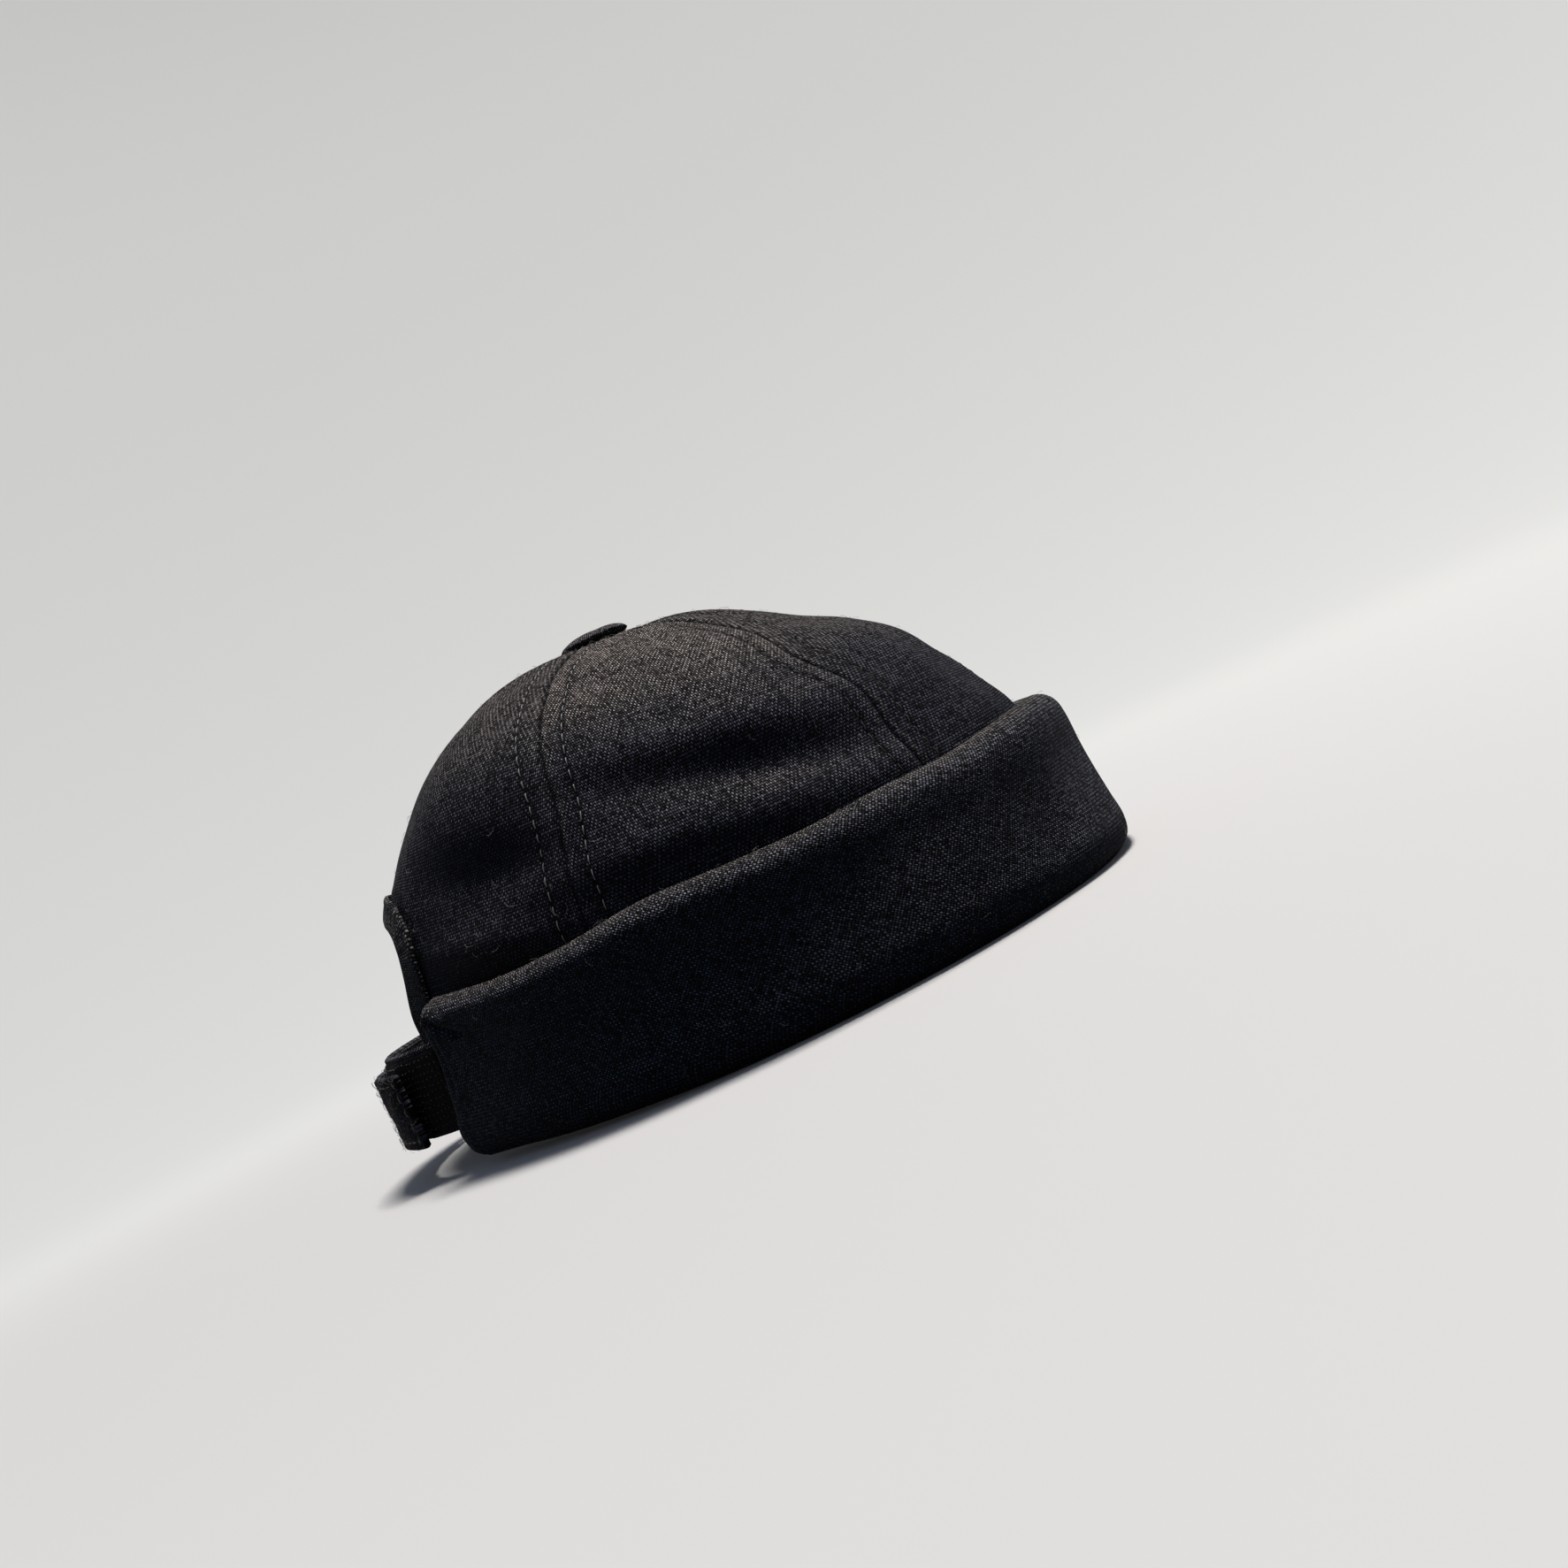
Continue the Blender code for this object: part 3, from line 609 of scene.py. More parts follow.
@dataclass(frozen=True)
class Nylon(Finish):
    """The shiny nylon of the hooks, or the dull ground that carries them."""

    colour: Colour = (0.0016, 0.0016, 0.0022, 1.0)
    rough: float = 0.28
    uneven: float = 0.3  # how much rougher it is in places
    light_share: float = 2.4
    grain: float = 900.0
    gloss: float = 0.5
    relief: float = 0.12 * MM
    relief_share: float = 0.6

    def dress(self, net: NodeNet, shader: bpy.types.Node) -> None:
        """Nylon with a fine uneven grain."""
        grain = net.noise(net.own_place(), self.grain, detail=3.0)
        light = tuple(self.light_share * part for part in self.colour[:3]) + (1.0,)
        inputs = {
            "Base Color": net.between(grain, self.colour, light),
            "Roughness": grain * self.uneven + self.rough,
            "Normal": net.bump(self.relief_share, self.relief, grain),
            "Specular IOR Level": self.gloss,
        }
        net.feed(shader, inputs)


@dataclass(frozen=True)
class Nap(Finish):
    """A dense, tangled nap of fine loops with deep gaps between them."""

    dark: Colour = (0.0004, 0.0004, 0.0006, 1.0)
    light: Colour = (0.150, 0.150, 0.185, 1.0)
    curl: float = 520.0
    fineness: float = 11.0
    patch_scale: float = 210.0
    patch_tone: Span = (-0.5, 1.9)  # how light the thin and the thick places of the nap are
    patch_rise: float = 0.8
    relief: float = 0.4 * MM
    relief_share: float = 1.0
    rough: float = 0.9
    gloss: float = 0.05

    def dress(self, net: NodeNet, shader: bpy.types.Node) -> None:
        """Curly lines, where a cloudy noise crosses its middle."""
        place = net.flat_place()
        away = net.number("ABSOLUTE", net.noise(place, self.curl, detail=1.0) - 0.5)
        loops = net.shown(1.0 - away * self.fineness)
        patch = net.noise(place, self.patch_scale, detail=2.0)
        inputs = {
            "Base Color": net.between(loops * net.spread(patch, self.patch_tone), self.dark, self.light),
            "Roughness": self.rough,
            "Normal": net.bump(self.relief_share, self.relief, loops + patch * self.patch_rise),
            "Specular IOR Level": self.gloss,
        }
        net.feed(shader, inputs)


@dataclass(frozen=True)
class Plaster(Finish):
    """The pale matt ground that the cap lies on, with a glow that spares the cap's shadow."""

    near: Colour = (0.62, 0.625, 0.62, 1.0)
    far: Colour = (0.250, 0.251, 0.245, 1.0)
    near_glow: Colour = (0.004, 0.004, 0.004, 1.0)
    glow: float = 1.98
    reach: Span = (0.12, 0.55)  # where the glow starts and where it is full, in metres from the cap
    rough: float = 0.9

    def dress(self, net: NodeNet, shader: bpy.types.Node) -> None:
        """A plain pale coat that glows away from the cap."""
        reach = net.add("ShaderNodeVectorMath", {0: net.own_place()}, {"operation": "LENGTH"}, "Value")
        away = net.eased(reach, self.reach)
        inputs = {
            "Base Color": net.between(away, self.near, self.far),
            "Roughness": self.rough,
            "Emission Color": net.between(away, self.near_glow, self.far),
            "Emission Strength": self.glow,
        }
        net.feed(shader, inputs)


# Each linen's second colour, given or left at its default, is the painted top light on cloth that faces up.
LINEN = Linen("black_linen", "linen", (0.225, 0.238, 0.310, 1.0), painted_top_light=(0.56, 0.500, 0.460, 1.0))
# A darker copy of the linen: painted shade for the front and back gores, which the light reaches less.
SHADED_LINEN = Linen("end_linen", "linen", (0.170, 0.182, 0.240, 1.0), painted_top_light=(0.36, 0.330, 0.320, 1.0))
BIAS_LINEN = Linen(
    "bias_linen", "linen", (0.42, 0.44, 0.52, 1.0), (0.28, 0.262, 0.262, 1.0), turn=math.radians(126.0)
)
BINDING_LINEN = Linen("binding_linen", "linen", (0.45, 0.44, 0.45, 1.0), wander=0.4)
STRAP_FACE = Nap("napped_strap", "linen")
HOOK_GROUND = Nylon("hook_ground", "hook_tape", rough=0.7, grain=1500.0, gloss=0.06)
HOOK_NYLON = Nylon("hook_nylon", "hook_tape", colour=(0.020, 0.020, 0.024, 1.0), rough=0.16)
LOOP_NAP = Nap("loop_nap", "loop_tape", curl=900.0)
DARK_THREAD = Thread("dark_thread", "linen", (0.040, 0.038, 0.042, 1.0))
PALE_THREAD = Thread("pale_thread", "linen", (0.36, 0.36, 0.37, 1.0), rough=0.4)
FIBRE = Thread("pale_fibre", "linen", (0.30, 0.29, 0.28, 1.0))
GROUND = Plaster("pale_ground", "linen")


@dataclass
class ClothSheet:
    """A net of points given a wall with rounded edges."""

    name: str
    points: Array  # rows by columns by 3
    weave: Array  # rows by columns by 2, the place on the flat cloth
    cloth: float
    outer: float = 0.5  # share of the wall that lies on the net's outer side
    wear: Array | float = 0.0

    EDGE_ROUND = 0.35  # how far a cut edge bulges, in thicknesses of the cloth

    def normals(self) -> Array:
        """Directions out of the net, with columns to the right and rows upwards."""
        return out_of(self.points)

    def edge_ring(self) -> tuple[Array, Array]:
        """The net's edge.

        Returns:
            The indices around it, and the direction out of the net at each.
        """
        rows, columns = self.points.shape[:2]
        index = np.arange(rows * columns).reshape(rows, columns)
        ring = np.concatenate([index[0, :-1], index[:-1, -1], index[-1, :0:-1], index[:0:-1, 0]])
        away = np.zeros_like(self.points)
        away[0] += unit(self.points[0] - self.points[1])
        away[-1] += unit(self.points[-1] - self.points[-2])
        away[:, 0] += unit(self.points[:, 0] - self.points[:, 1])
        away[:, -1] += unit(self.points[:, -1] - self.points[:, -2])
        return ring, unit(away.reshape(-1, 3)[ring])

    def build(self, finish: Finish) -> bpy.types.Object:
        """The sheet as an object in its finish."""
        rows, columns = self.points.shape[:2]
        count = rows * columns
        index = np.arange(count).reshape(rows, columns)
        out = self.normals() * self.cloth
        flat = self.points.reshape(-1, 3)
        thick = out.reshape(-1, 3)
        front = flat + thick * self.outer
        back = flat - thick * (1 - self.outer)
        ring, away = self.edge_ring()
        middle = (front + back)[ring] / 2 + away * self.cloth * self.EDGE_ROUND
        quads = np.stack([index[:-1, :-1], index[:-1, 1:], index[1:, 1:], index[1:, :-1]], -1)
        quads = quads.reshape(-1, 4)
        start, end = ring, np.roll(ring, -1)
        rim = 2 * count + np.arange(len(ring))
        rim_end = np.roll(rim, -1)
        faces = np.vstack(
            [
                quads,
                quads[:, ::-1] + count,
                np.stack([end, start, rim, rim_end], -1),
                np.stack([rim_end, rim, start + count, end + count], -1),
            ]
        )
        mesh = bpy.data.meshes.new(self.name)
        mesh.from_pydata(np.vstack([front, back, middle]) + RIM_MIDDLE, [], faces)
        weave = self.weave.reshape(-1, 2)
        self.map_weave(mesh, np.vstack([weave, weave, weave[ring]]))
        wear = np.broadcast_to(self.wear, (rows, columns)).reshape(-1)
        # Painted top light: the more the cloth faces up, the lighter and warmer it is painted; its inner
        # side gets none.
        fade = smooth((out[..., 2].reshape(-1) / self.cloth - PAINTED_LIGHT_START) / (1 - PAINTED_LIGHT_START))
        mark(mesh, WEAR_AND_SHADE, np.concatenate([wear, wear, wear[ring]]))
        mark(mesh, PAINTED_TOP_LIGHT, np.concatenate([fade, np.zeros(count), fade[ring]]))
        mesh.shade_smooth()
        mesh.materials.append(finish.material())
        return placed(self.name, mesh)

    @staticmethod
    def map_weave(mesh: bpy.types.Mesh, places: Array) -> None:
        """Writes each vertex's place on the flat cloth to the mesh's UV map."""
        corners = np.empty(len(mesh.loops), np.int32)
        mesh.loops.foreach_get("vertex_index", corners)
        uv = places[corners].astype(np.float32).reshape(-1)
        mesh.uv_layers.new(name=WEAVE).data.foreach_set("uv", uv)

    def lay(self, node: str, finish: Finish, held: Hold, *rests_on: str) -> None:
        """Makes the sheet and gives it its place in the frame."""
        piece = self.build(finish)
        width, length = self.flat_size()
        area = self.flat_area()
        declare(piece, node)
        LOG.info("%s: cut %.1f x %.1f mm, %.0f sq mm", piece.name, width / MM, length / MM, area / MM**2)

    def flat_size(self) -> tuple[float, float]:
        """Width and length of the cut."""
        spread = np.ptp(self.weave.reshape(-1, 2), axis=0)
        return float(spread[0]), float(spread[1])

    def flat_area(self) -> float:
        """Area of the cut, from its net."""
        across = self.weave[:-1, 1:] - self.weave[1:, :-1]
        other = self.weave[1:, 1:] - self.weave[:-1, :-1]
        area = np.abs(across[..., 0] * other[..., 1] - across[..., 1] * other[..., 0]).sum() / 2
        width, length = self.flat_size()
        return float(min(area, width * length))


def declare(piece: bpy.types.Object, node: str | None) -> None:
    """Gives a piece its place in the frame, for the solid that it stands for, if any."""
    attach(piece, "root")
    if node is not None:
        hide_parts(node)
    LOG.info("%s: %d faces", piece.name, len(piece.data.polygons))


@dataclass
class SewnLines:
    """Lines for a thread to follow, with the direction out of the cloth."""

    lines: list[tuple[Array, Array]] = field(default_factory=list)

    def add(self, points: Array, face: Array) -> None:
        """Adds a line of points."""
        self.lines.append((points + RIM_MIDDLE, face))

    def carrier(self) -> bpy.types.Object:
        """The lines as an object of edges."""
        points = np.vstack([line for line, _ in self.lines])
        face = np.vstack([out for _, out in self.lines])
        edges: list[tuple[int, int]] = []
        start = 0
        for line, _ in self.lines:
            edges += [(start + k, start + k + 1) for k in range(len(line) - 1)]
            start += len(line)
        mesh = bpy.data.meshes.new("sewn_lines")
        mesh.from_pydata(points, edges, [])
        attribute = mesh.attributes.new(FACE, "FLOAT_VECTOR", "POINT")
        attribute.data.foreach_set("vector", face.astype(np.float32).reshape(-1))
        return placed("sewn_lines", mesh)


class Grower:
    """A geometry node tree that is run once on a carrier of lines or points and leaves a plain mesh."""

    lengths: tuple[str, ...]  # the tree's named lengths, beside its seed and its finish
    STEPS: int  # along a strand
    CORNERS: int  # around it
    AROUND = ((-1.0, -1.0, -1.0), (1.0, 1.0, 1.0))  # random directions

    def plan(self, net: NodeNet, get: Callable[[str], Wire]) -> Wire:
        """Adds the tree's nodes and returns the geometry before its instances are realised."""
        raise NotImplementedError

    def strand(self, net: NodeNet, kind: str, ends: dict[str, Value], width: Wire) -> Wire:
        """Adds a curve of a kind with those ends and gives it a round thickness."""
        line = net.add(kind, {"Resolution": self.STEPS, **ends})
        inputs = {"Resolution": self.CORNERS, "Radius": width * 0.5}
        ring = net.add("GeometryNodeCurvePrimitiveCircle", inputs)
        return net.add("GeometryNodeCurveToMesh", {0: line, 1: ring, "Fill Caps": True})

    @staticmethod
    def chance(net: NodeNet, seed: Wire, ends: tuple[tuple, tuple]) -> Wire:
        """A random vector between two for each point."""
        inputs = {0: ends[0], 1: ends[1], "Seed": seed}
        return net.add("FunctionNodeRandomValue", inputs, {"data_type": "FLOAT_VECTOR"})

    @staticmethod
    def standing(net: NodeNet, run: Wire) -> Wire:
        """The turn that takes Z out of the cloth and X along a direction."""
        kind = {"data_type": "FLOAT_VECTOR"}
        face = net.add("GeometryNodeInputNamedAttribute", {"Name": FACE}, kind, "Attribute")
        axes = {"primary_axis": "Z", "secondary_axis": "X"}
        return net.add("FunctionNodeAxesToRotation", {0: face, 1: run}, axes)

    def scattered(self, net: NodeNet, get: Callable[[str], Wire], strand: Wire) -> dict[str, Wire]:
        """A strand on each point of the carrier, turned at random about the way out of the cloth."""
        turned = self.standing(net, self.chance(net, get("Seed"), self.AROUND))
        points = net.add("GeometryNodeMeshToPoints", {0: get("Geometry")})
        return {"Points": points, "Instance": strand, "Rotation": turned}

    def tree(self) -> bpy.types.NodeTree:
        """The tree, with its named inputs."""
        tree = bpy.data.node_groups.new(type(self).__name__, "GeometryNodeTree")
        tree.is_modifier = True
        kinds = {"Geometry": "NodeSocketGeometry", **dict.fromkeys(self.lengths, "NodeSocketFloat")}
        kinds.update({"Seed": "NodeSocketInt", "Finish": "NodeSocketMaterial"})
        for name, kind in kinds.items():
            tree.interface.new_socket(name, in_out="INPUT", socket_type=kind)
        tree.interface.new_socket("Geometry", in_out="OUTPUT", socket_type="NodeSocketGeometry")
        start = tree.nodes.new("NodeGroupInput")
        net = NodeNet(tree)
        made = self.plan(net, lambda name: Wire(net, start.outputs[name]))
        real = net.add("GeometryNodeRealizeInstances", {0: made})
        finish = Wire(net, start.outputs["Finish"])
        shown = net.add("GeometryNodeSetMaterial", {0: real, "Material": finish})
        net.feed(tree.nodes.new("NodeGroupOutput"), {0: shown})
        return tree

    def grow(self, name: str, lines: SewnLines, finish: Finish, seed: int, **lengths: float) -> None:
        """Makes a piece that stands for no solid.

        Args:
            name: the piece's name.
            lines: what it grows on.
            finish: its finish.
            seed: the seed of what is random.
            lengths: values of the named lengths.
        """
        tree = self.tree()
        carrier = lines.carrier()
        modifier = carrier.modifiers.new(tree.name, "NODES")
        modifier.node_group = tree
        values = {**lengths, "Seed": seed, "Finish": finish.material()}
        for item in tree.interface.items_tree:
            if item.in_out == "INPUT" and item.name in values:
                modifier[item.identifier] = values[item.name]
        shapes = bpy.context.evaluated_depsgraph_get()
        mesh = bpy.data.meshes.new_from_object(carrier.evaluated_get(shapes), depsgraph=shapes)
        mesh.name = name
        bpy.data.objects.remove(carrier)
        bpy.data.node_groups.remove(tree)
        declare(placed(name, mesh), None)


class Stitching(Grower):
    """Stitches along lines, each a short arc of thread that dips into the cloth at both ends."""

    lengths = ("Pitch", "Length", "Width", "Rise")
    SIZES = ((0.86, 0.85, 0.8), (1.06, 1.1, 1.1))  # the least and the most of each direction, as shares
    ARCH = 2.2  # how high the arc's middle point is, in rises
    STEPS = 5
    CORNERS = 6

    def plan(self, net: NodeNet, get: Callable[[str], Wire]) -> Wire:
        """Curves from the edges, a stitch at each step, turned along the line and out of the cloth."""
        lines = net.add("GeometryNodeMeshToCurve", {0: get("Geometry")})
        steps = net.add("GeometryNodeResampleCurve", {0: lines, "Length": get("Pitch")}, {"mode": "LENGTH"})
        half, dip = get("Length") * 0.5, get("Rise") * -1.0
        ends = {
            "Start": net.vector(half * -1.0, 0.0, dip),
            "Middle": net.vector(0.0, 0.0, get("Rise") * self.ARCH),
            "End": net.vector(half, 0.0, dip),
        }
        stitch = self.strand(net, "GeometryNodeCurveQuadraticBezier", ends, get("Width"))
        turned = self.standing(net, net.add("GeometryNodeInputTangent", {}))
        inputs = {"Points": steps, "Instance": stitch, "Rotation": turned}
        inputs["Scale"] = self.chance(net, get("Seed"), self.SIZES)
        return net.add("GeometryNodeInstanceOnPoints", inputs)


class Hooks(Grower):
    """Rows of small bent hooks on a tape."""

    lengths = ("Height", "Wire")
    FIRST_HANDLE = 1.25  # straight out; this and the next two are in heights of the hook
    LAST_HANDLE = (0.75, 1.3)  # sideways and out
    TIP = (0.62, 0.45)
    STEPS = 7
    CORNERS = 4

    def plan(self, net: NodeNet, get: Callable[[str], Wire]) -> Wire:
        """A hook on each point of the tape's net, turned at random about the way out."""
        tall = get("Height")
        side, out = self.LAST_HANDLE
        ends = {
            "Start": (0.0, 0.0, 0.0),
            "Start Handle": net.vector(0.0, 0.0, tall * self.FIRST_HANDLE),
            "End Handle": net.vector(tall * side, 0.0, tall * out),
            "End": net.vector(tall * self.TIP[0], 0.0, tall * self.TIP[1]),
        }
        hook = self.strand(net, "GeometryNodeCurvePrimitiveBezierSegment", ends, get("Wire"))
        return net.add("GeometryNodeInstanceOnPoints", self.scattered(net, get, hook))


class Fuzz(Grower):
    """Short loose fibres that lie on the cloth and stand a little away from it."""

    lengths = ("Length", "Rise", "Width")
    SIZES = ((0.3, 0.2, 0.2), (1.5, 1.6, 1.8))  # the least and the most of each direction, as shares
    BEND = (0.2, 0.7)  # how far along and beside the fibre its middle point is, in half lengths
    BEND_RISE = 2.0  # and how high, in rises
    STEPS = 5
    CORNERS = 3

    def plan(self, net: NodeNet, get: Callable[[str], Wire]) -> Wire:
        """A bent fibre on each point, of its own length and direction."""
        half, rise = get("Length") * 0.5, get("Rise")
        ends = {
            "Start": net.vector(half * -1.0, 0.0, 0.0),
            "Middle": net.vector(half * self.BEND[0], half * self.BEND[1], rise * self.BEND_RISE),
            "End": net.vector(half, 0.0, rise),
        }
        fibre = self.strand(net, "GeometryNodeCurveQuadraticBezier", ends, get("Width"))
        sizes = {"Scale": self.chance(net, get("Seed"), self.SIZES)}
        return net.add("GeometryNodeInstanceOnPoints", {**self.scattered(net, get, fibre), **sizes})


@dataclass
class Crown:
    """The crown: six gores sewn together, cut out at the back by an arched opening."""

    half_length: float = 99.0 * MM
    half_width: float = 86.0 * MM
    height: float = 120.0 * MM
    narrowing: float = 0.03  # how much narrower it is towards the forehead
    cloth: float = 1.2 * MM
    seam_gap: float = 0.14 * MM
    puff: float = 1.2 * MM  # how far a gore bulges between its seams
    puff_fade: float = 0.2  # the share of its height over which that ends under the button
    side_seam_front: float = math.radians(50.0)
    side_seam_back: float = math.radians(108.5)
    arch_half_width: float = 37.5 * MM
    arch_height: float = 72.0 * MM
    arch_spring: float = 56.0 * MM  # the height at which the opening's straight sides end
    arch_squareness: float = 3.0
    arch_straight: float = 0.5  # the share of its half edge that is straight
    flare_side: float = 7.0 * MM  # how far the cloth stands away beside the opening
    flare_top: float = 3.2 * MM  # and over it
    flare_low: float = 42.0 * MM  # the heights from which and to which that changes
    flare_high: float = 62.0 * MM
    flare_reach: float = 34.0 * MM
    hem_lift: float = 7.0 * MM  # how far the gores' lower edge rises beside the opening
    hem_lift_reach: float = 16.0 * MM
    fold: float = 1.6 * MM  # the depth of a fold whose share is 1
    fold_fade: float = 0.25  # the share of the cuff's height over which the folds end under its top
    stitch_from_seam: float = 6.6 * MM
    stitch_share: float = 0.33  # of a narrow gore's width, at most
    seam_dip: float = 0.4 * MM
    dip_width: float = 0.7 * MM
    seam_pad: float = 0.22 * MM  # how far the seam's allowance lifts the cloth
    pad_past: float = 0.9 * MM  # how far past the stitches it ends
    pad_fade: float = 1.2 * MM
    groove: float = 0.32 * MM  # along the stitches
    groove_width: float = 0.6 * MM
    ridge: Wear = Wear(1.6 * MM, 0.8 * MM, 0.55)  # beside a seam
    seam_shade: Wear = Wear(0.0, 0.8 * MM, -0.7)
    stitch_shade: Wear = Wear(0.0, 0.8 * MM, -0.95)
    unevenness: float = 0.35 * MM
    uneven_length: float = 26.0 * MM
    uneven_fade: float = 0.15  # in climb, under the button
    puff_clear: float = 8.5 * MM  # how far from the opening a gore's puff starts
    relief_clear: float = 6.5 * MM  # and its sewing's relief
    relief_fade: float = 4.0 * MM
    relief_low: float = 30.0 * MM  # the height under which the cuff hides the relief
    relief_rise: float = 12.0 * MM
    hidden_relief: float = 0.3
    fan: float = 0.22 * MM  # the soft folds that spread from the button
    fan_count: float = 33.0
    fan_sway: float = 2.0
    fan_sway_count: float = 7.0
    fan_low: float = 0.62
    fan_rise: float = 0.2
    fan_end: float = 0.12
    arch_share: float = 0.6  # share of a back gore's rows that lies beside the opening
    sections: tuple[Section, ...] = (
        Section(1.000, 0.000, 1.000, 0.000, 0.990, 0.000),
        Section(0.995, 0.208, 1.012, 0.208, 0.995, 0.233),
        Section(0.965, 0.408, 1.000, 0.400, 0.995, 0.450),
        Section(0.897, 0.521, 0.965, 0.533, 0.975, 0.592),
        Section(0.816, 0.629, 0.901, 0.650, 0.921, 0.700),
        Section(0.713, 0.727, 0.802, 0.754, 0.838, 0.788),
        Section(0.572, 0.807, 0.663, 0.840, 0.733, 0.871),
        Section(0.414, 0.880, 0.506, 0.908, 0.600, 0.940),
        Section(0.263, 0.945, 0.343, 0.958, 0.457, 0.987),
        Section(0.091, 0.986, 0.174, 0.992, 0.287, 1.012),
        Section(-0.071, 0.997, 0.035, 1.000, 0.131, 1.005),
    )
    strays: tuple[Stray, ...] = (
        Stray(4.0, 4.5),
        Stray(3.0, 3.5),
        Stray(2.0, 1.9),
        Stray(-0.2, 0.0),
        Stray(3.0, 0.0),
        Stray(-3.0, -1.2),
        Stray(-7.5, -1.7),
        Stray(-8.0, -1.5),
        Stray(-8.0, -1.5),
    )
    folds: tuple[Fold, ...] = (
        Fold(80.0, 0.575, 28.0, 0.055, 0.095, -1.5),
        Fold(88.0, 0.470, 28.0, 0.055, 0.045, 1.2),
        Fold(74.0, 0.650, 30.0, 0.050, 0.060, 0.7),
        Fold(130.0, 0.440, 20.0, 0.050, 0.040, 1.8),
        Fold(128.0, 0.600, 20.0, 0.075, 0.040, -2.2),
        Fold(128.0, 0.830, 22.0, 0.090, 0.000, 1.3),
        Fold(20.0, 0.830, 22.0, 0.040, 0.000, -0.6),
    )

    STEP = 0.001  # in azimuth and climb, for directions
    HALVINGS = 22
    CORRECTIONS = 12
    EDGE_POINTS = 60

    def plain(self, azimuth: Array, climb: Array) -> Array:
        """The crown without flare, puff or folds."""
        azimuth, climb = np.broadcast_arrays(np.asarray(azimuth, float), np.asarray(climb, float))
        columns = np.moveaxis(along(self.sections, climb), -1, 0)
        front, front_height, side, side_height, back, back_height = columns
        c, s = np.cos(azimuth), np.sin(azimuth)
        reach = self.half_length * ((front - back) / 2 + (front + back) / 2 * c)
        across = self.half_width * side * s * (1 - self.narrowing * c)
        mean, lean = (front_height + back_height) / 2, (front_height - back_height) / 2
        return np.stack([across, -reach, self.height * (side_height * s**2 + mean * c**2 + lean * c)], -1)

    def outward(self, surface: Surface, azimuth: Array, climb: Array) -> Array:
        """A surface's outward direction."""
        climb = np.clip(climb, self.STEP, 1 - self.STEP)
        return facing(surface, azimuth, climb, self.STEP)

    def moved(self, azimuth: Array, climb: Array, shift: Array) -> tuple[Array, Array]:
        """The azimuth and climb after a small shift along the crown."""
        step, twice = self.STEP, 2 * self.STEP
        turned = (self.plain(azimuth + step, climb) - self.plain(azimuth - step, climb)) / twice
        raised = (self.plain(azimuth, climb + step) - self.plain(azimuth, climb - step)) / twice
        turn = (shift * turned).sum(-1) / (turned**2).sum(-1)
        return azimuth + turn, climb + (shift * raised).sum(-1) / (raised**2).sum(-1)

    def turn_length(self, azimuth: Array, climb: Array) -> Array:
        """Metres of cloth for each radian of azimuth."""
        turned = self.plain(azimuth + self.STEP, climb) - self.plain(azimuth - self.STEP, climb)
        return np.linalg.norm(turned, axis=-1) / (2 * self.STEP)

    def front_side_seam(self, climb: Array) -> Array:
        """The azimuth of the seam between a front and a side gore."""
        return self.side_seam_front + np.radians(along(self.strays, climb)[..., 0])

    def back_side_seam(self, climb: Array) -> Array:
        """The azimuth of the seam between a side and a back gore."""
        return self.side_seam_back + np.radians(along(self.strays, climb)[..., 1])

    def climb_at(self, azimuth: Array, height: Array) -> Array:
        """The climb at which the crown has that height."""
        low = np.zeros(np.broadcast(azimuth, height).shape)
        high = np.ones(low.shape)
        for _ in range(self.HALVINGS):
            middle = (low + high) / 2
            under = self.plain(azimuth, middle)[..., 2] < height
            low, high = np.where(under, middle, low), np.where(under, high, middle)
        return (low + high) / 2

    def behind(self, across: Array, height: Array) -> tuple[Array, Array]:
        """Azimuth and climb of the point of the back at that place across and that height."""
        azimuth = np.full(np.broadcast(across, height).shape, math.pi)
        for _ in range(self.CORRECTIONS):
            climb = self.climb_at(azimuth, height)
            side = along(self.sections, climb)[..., 2]
            wide = self.half_width * side * (1 - self.narrowing * np.cos(azimuth))
            azimuth = math.pi - np.arcsin(np.clip(across / wide, -1, 1))
        return azimuth, self.climb_at(azimuth, height)

    def arch_edge(self, share: Array) -> tuple[Array, Array]:
        """Azimuth and climb along the left half of the opening's edge, from the rim (0) to its top (1)."""
        share = np.asarray(share, float)
        turn = np.clip((share - self.arch_straight) / (1 - self.arch_straight), 0, 1) * math.pi / 2
        power = 2 / self.arch_squareness
        across = np.where(share >= 1, 0.0, self.arch_half_width * np.abs(np.cos(turn)) ** power)
        rise = (self.arch_height - self.arch_spring) * np.sin(turn) ** power
        return self.behind(across, np.minimum(share / self.arch_straight, 1) * self.arch_spring + rise)

    @cached_property
    def edge_line(self) -> Array:
        """Points along the left half of the opening's edge."""
        return self.plain(*self.arch_edge(np.linspace(0, 1, self.EDGE_POINTS)))

    @cached_property
    def arch_top(self) -> float:
        """The climb at the opening's top."""
        return float(self.arch_edge(1.0)[1])

    @cached_property
    def arch_foot(self) -> float:
        """The azimuth at which the opening meets the rim."""
        return float(self.behind(self.arch_half_width, 0.0)[0])

    def edge_distance(self, points: Array) -> Array:
        """How far each point is from the edge of the opening."""
        line = self.edge_line
        place = np.concatenate([np.abs(points[..., :1]), points[..., 1:]], -1)
        nearest = np.full(place.shape[:-1], np.inf)
        for start, end in zip(line[:-1], line[1:]):
            step = end - start
            share = np.clip((place - start) @ step / (step @ step), 0, 1)
            gone = np.linalg.norm(place - start - share[..., None] * step, axis=-1)
            nearest = np.minimum(nearest, gone)
        return nearest

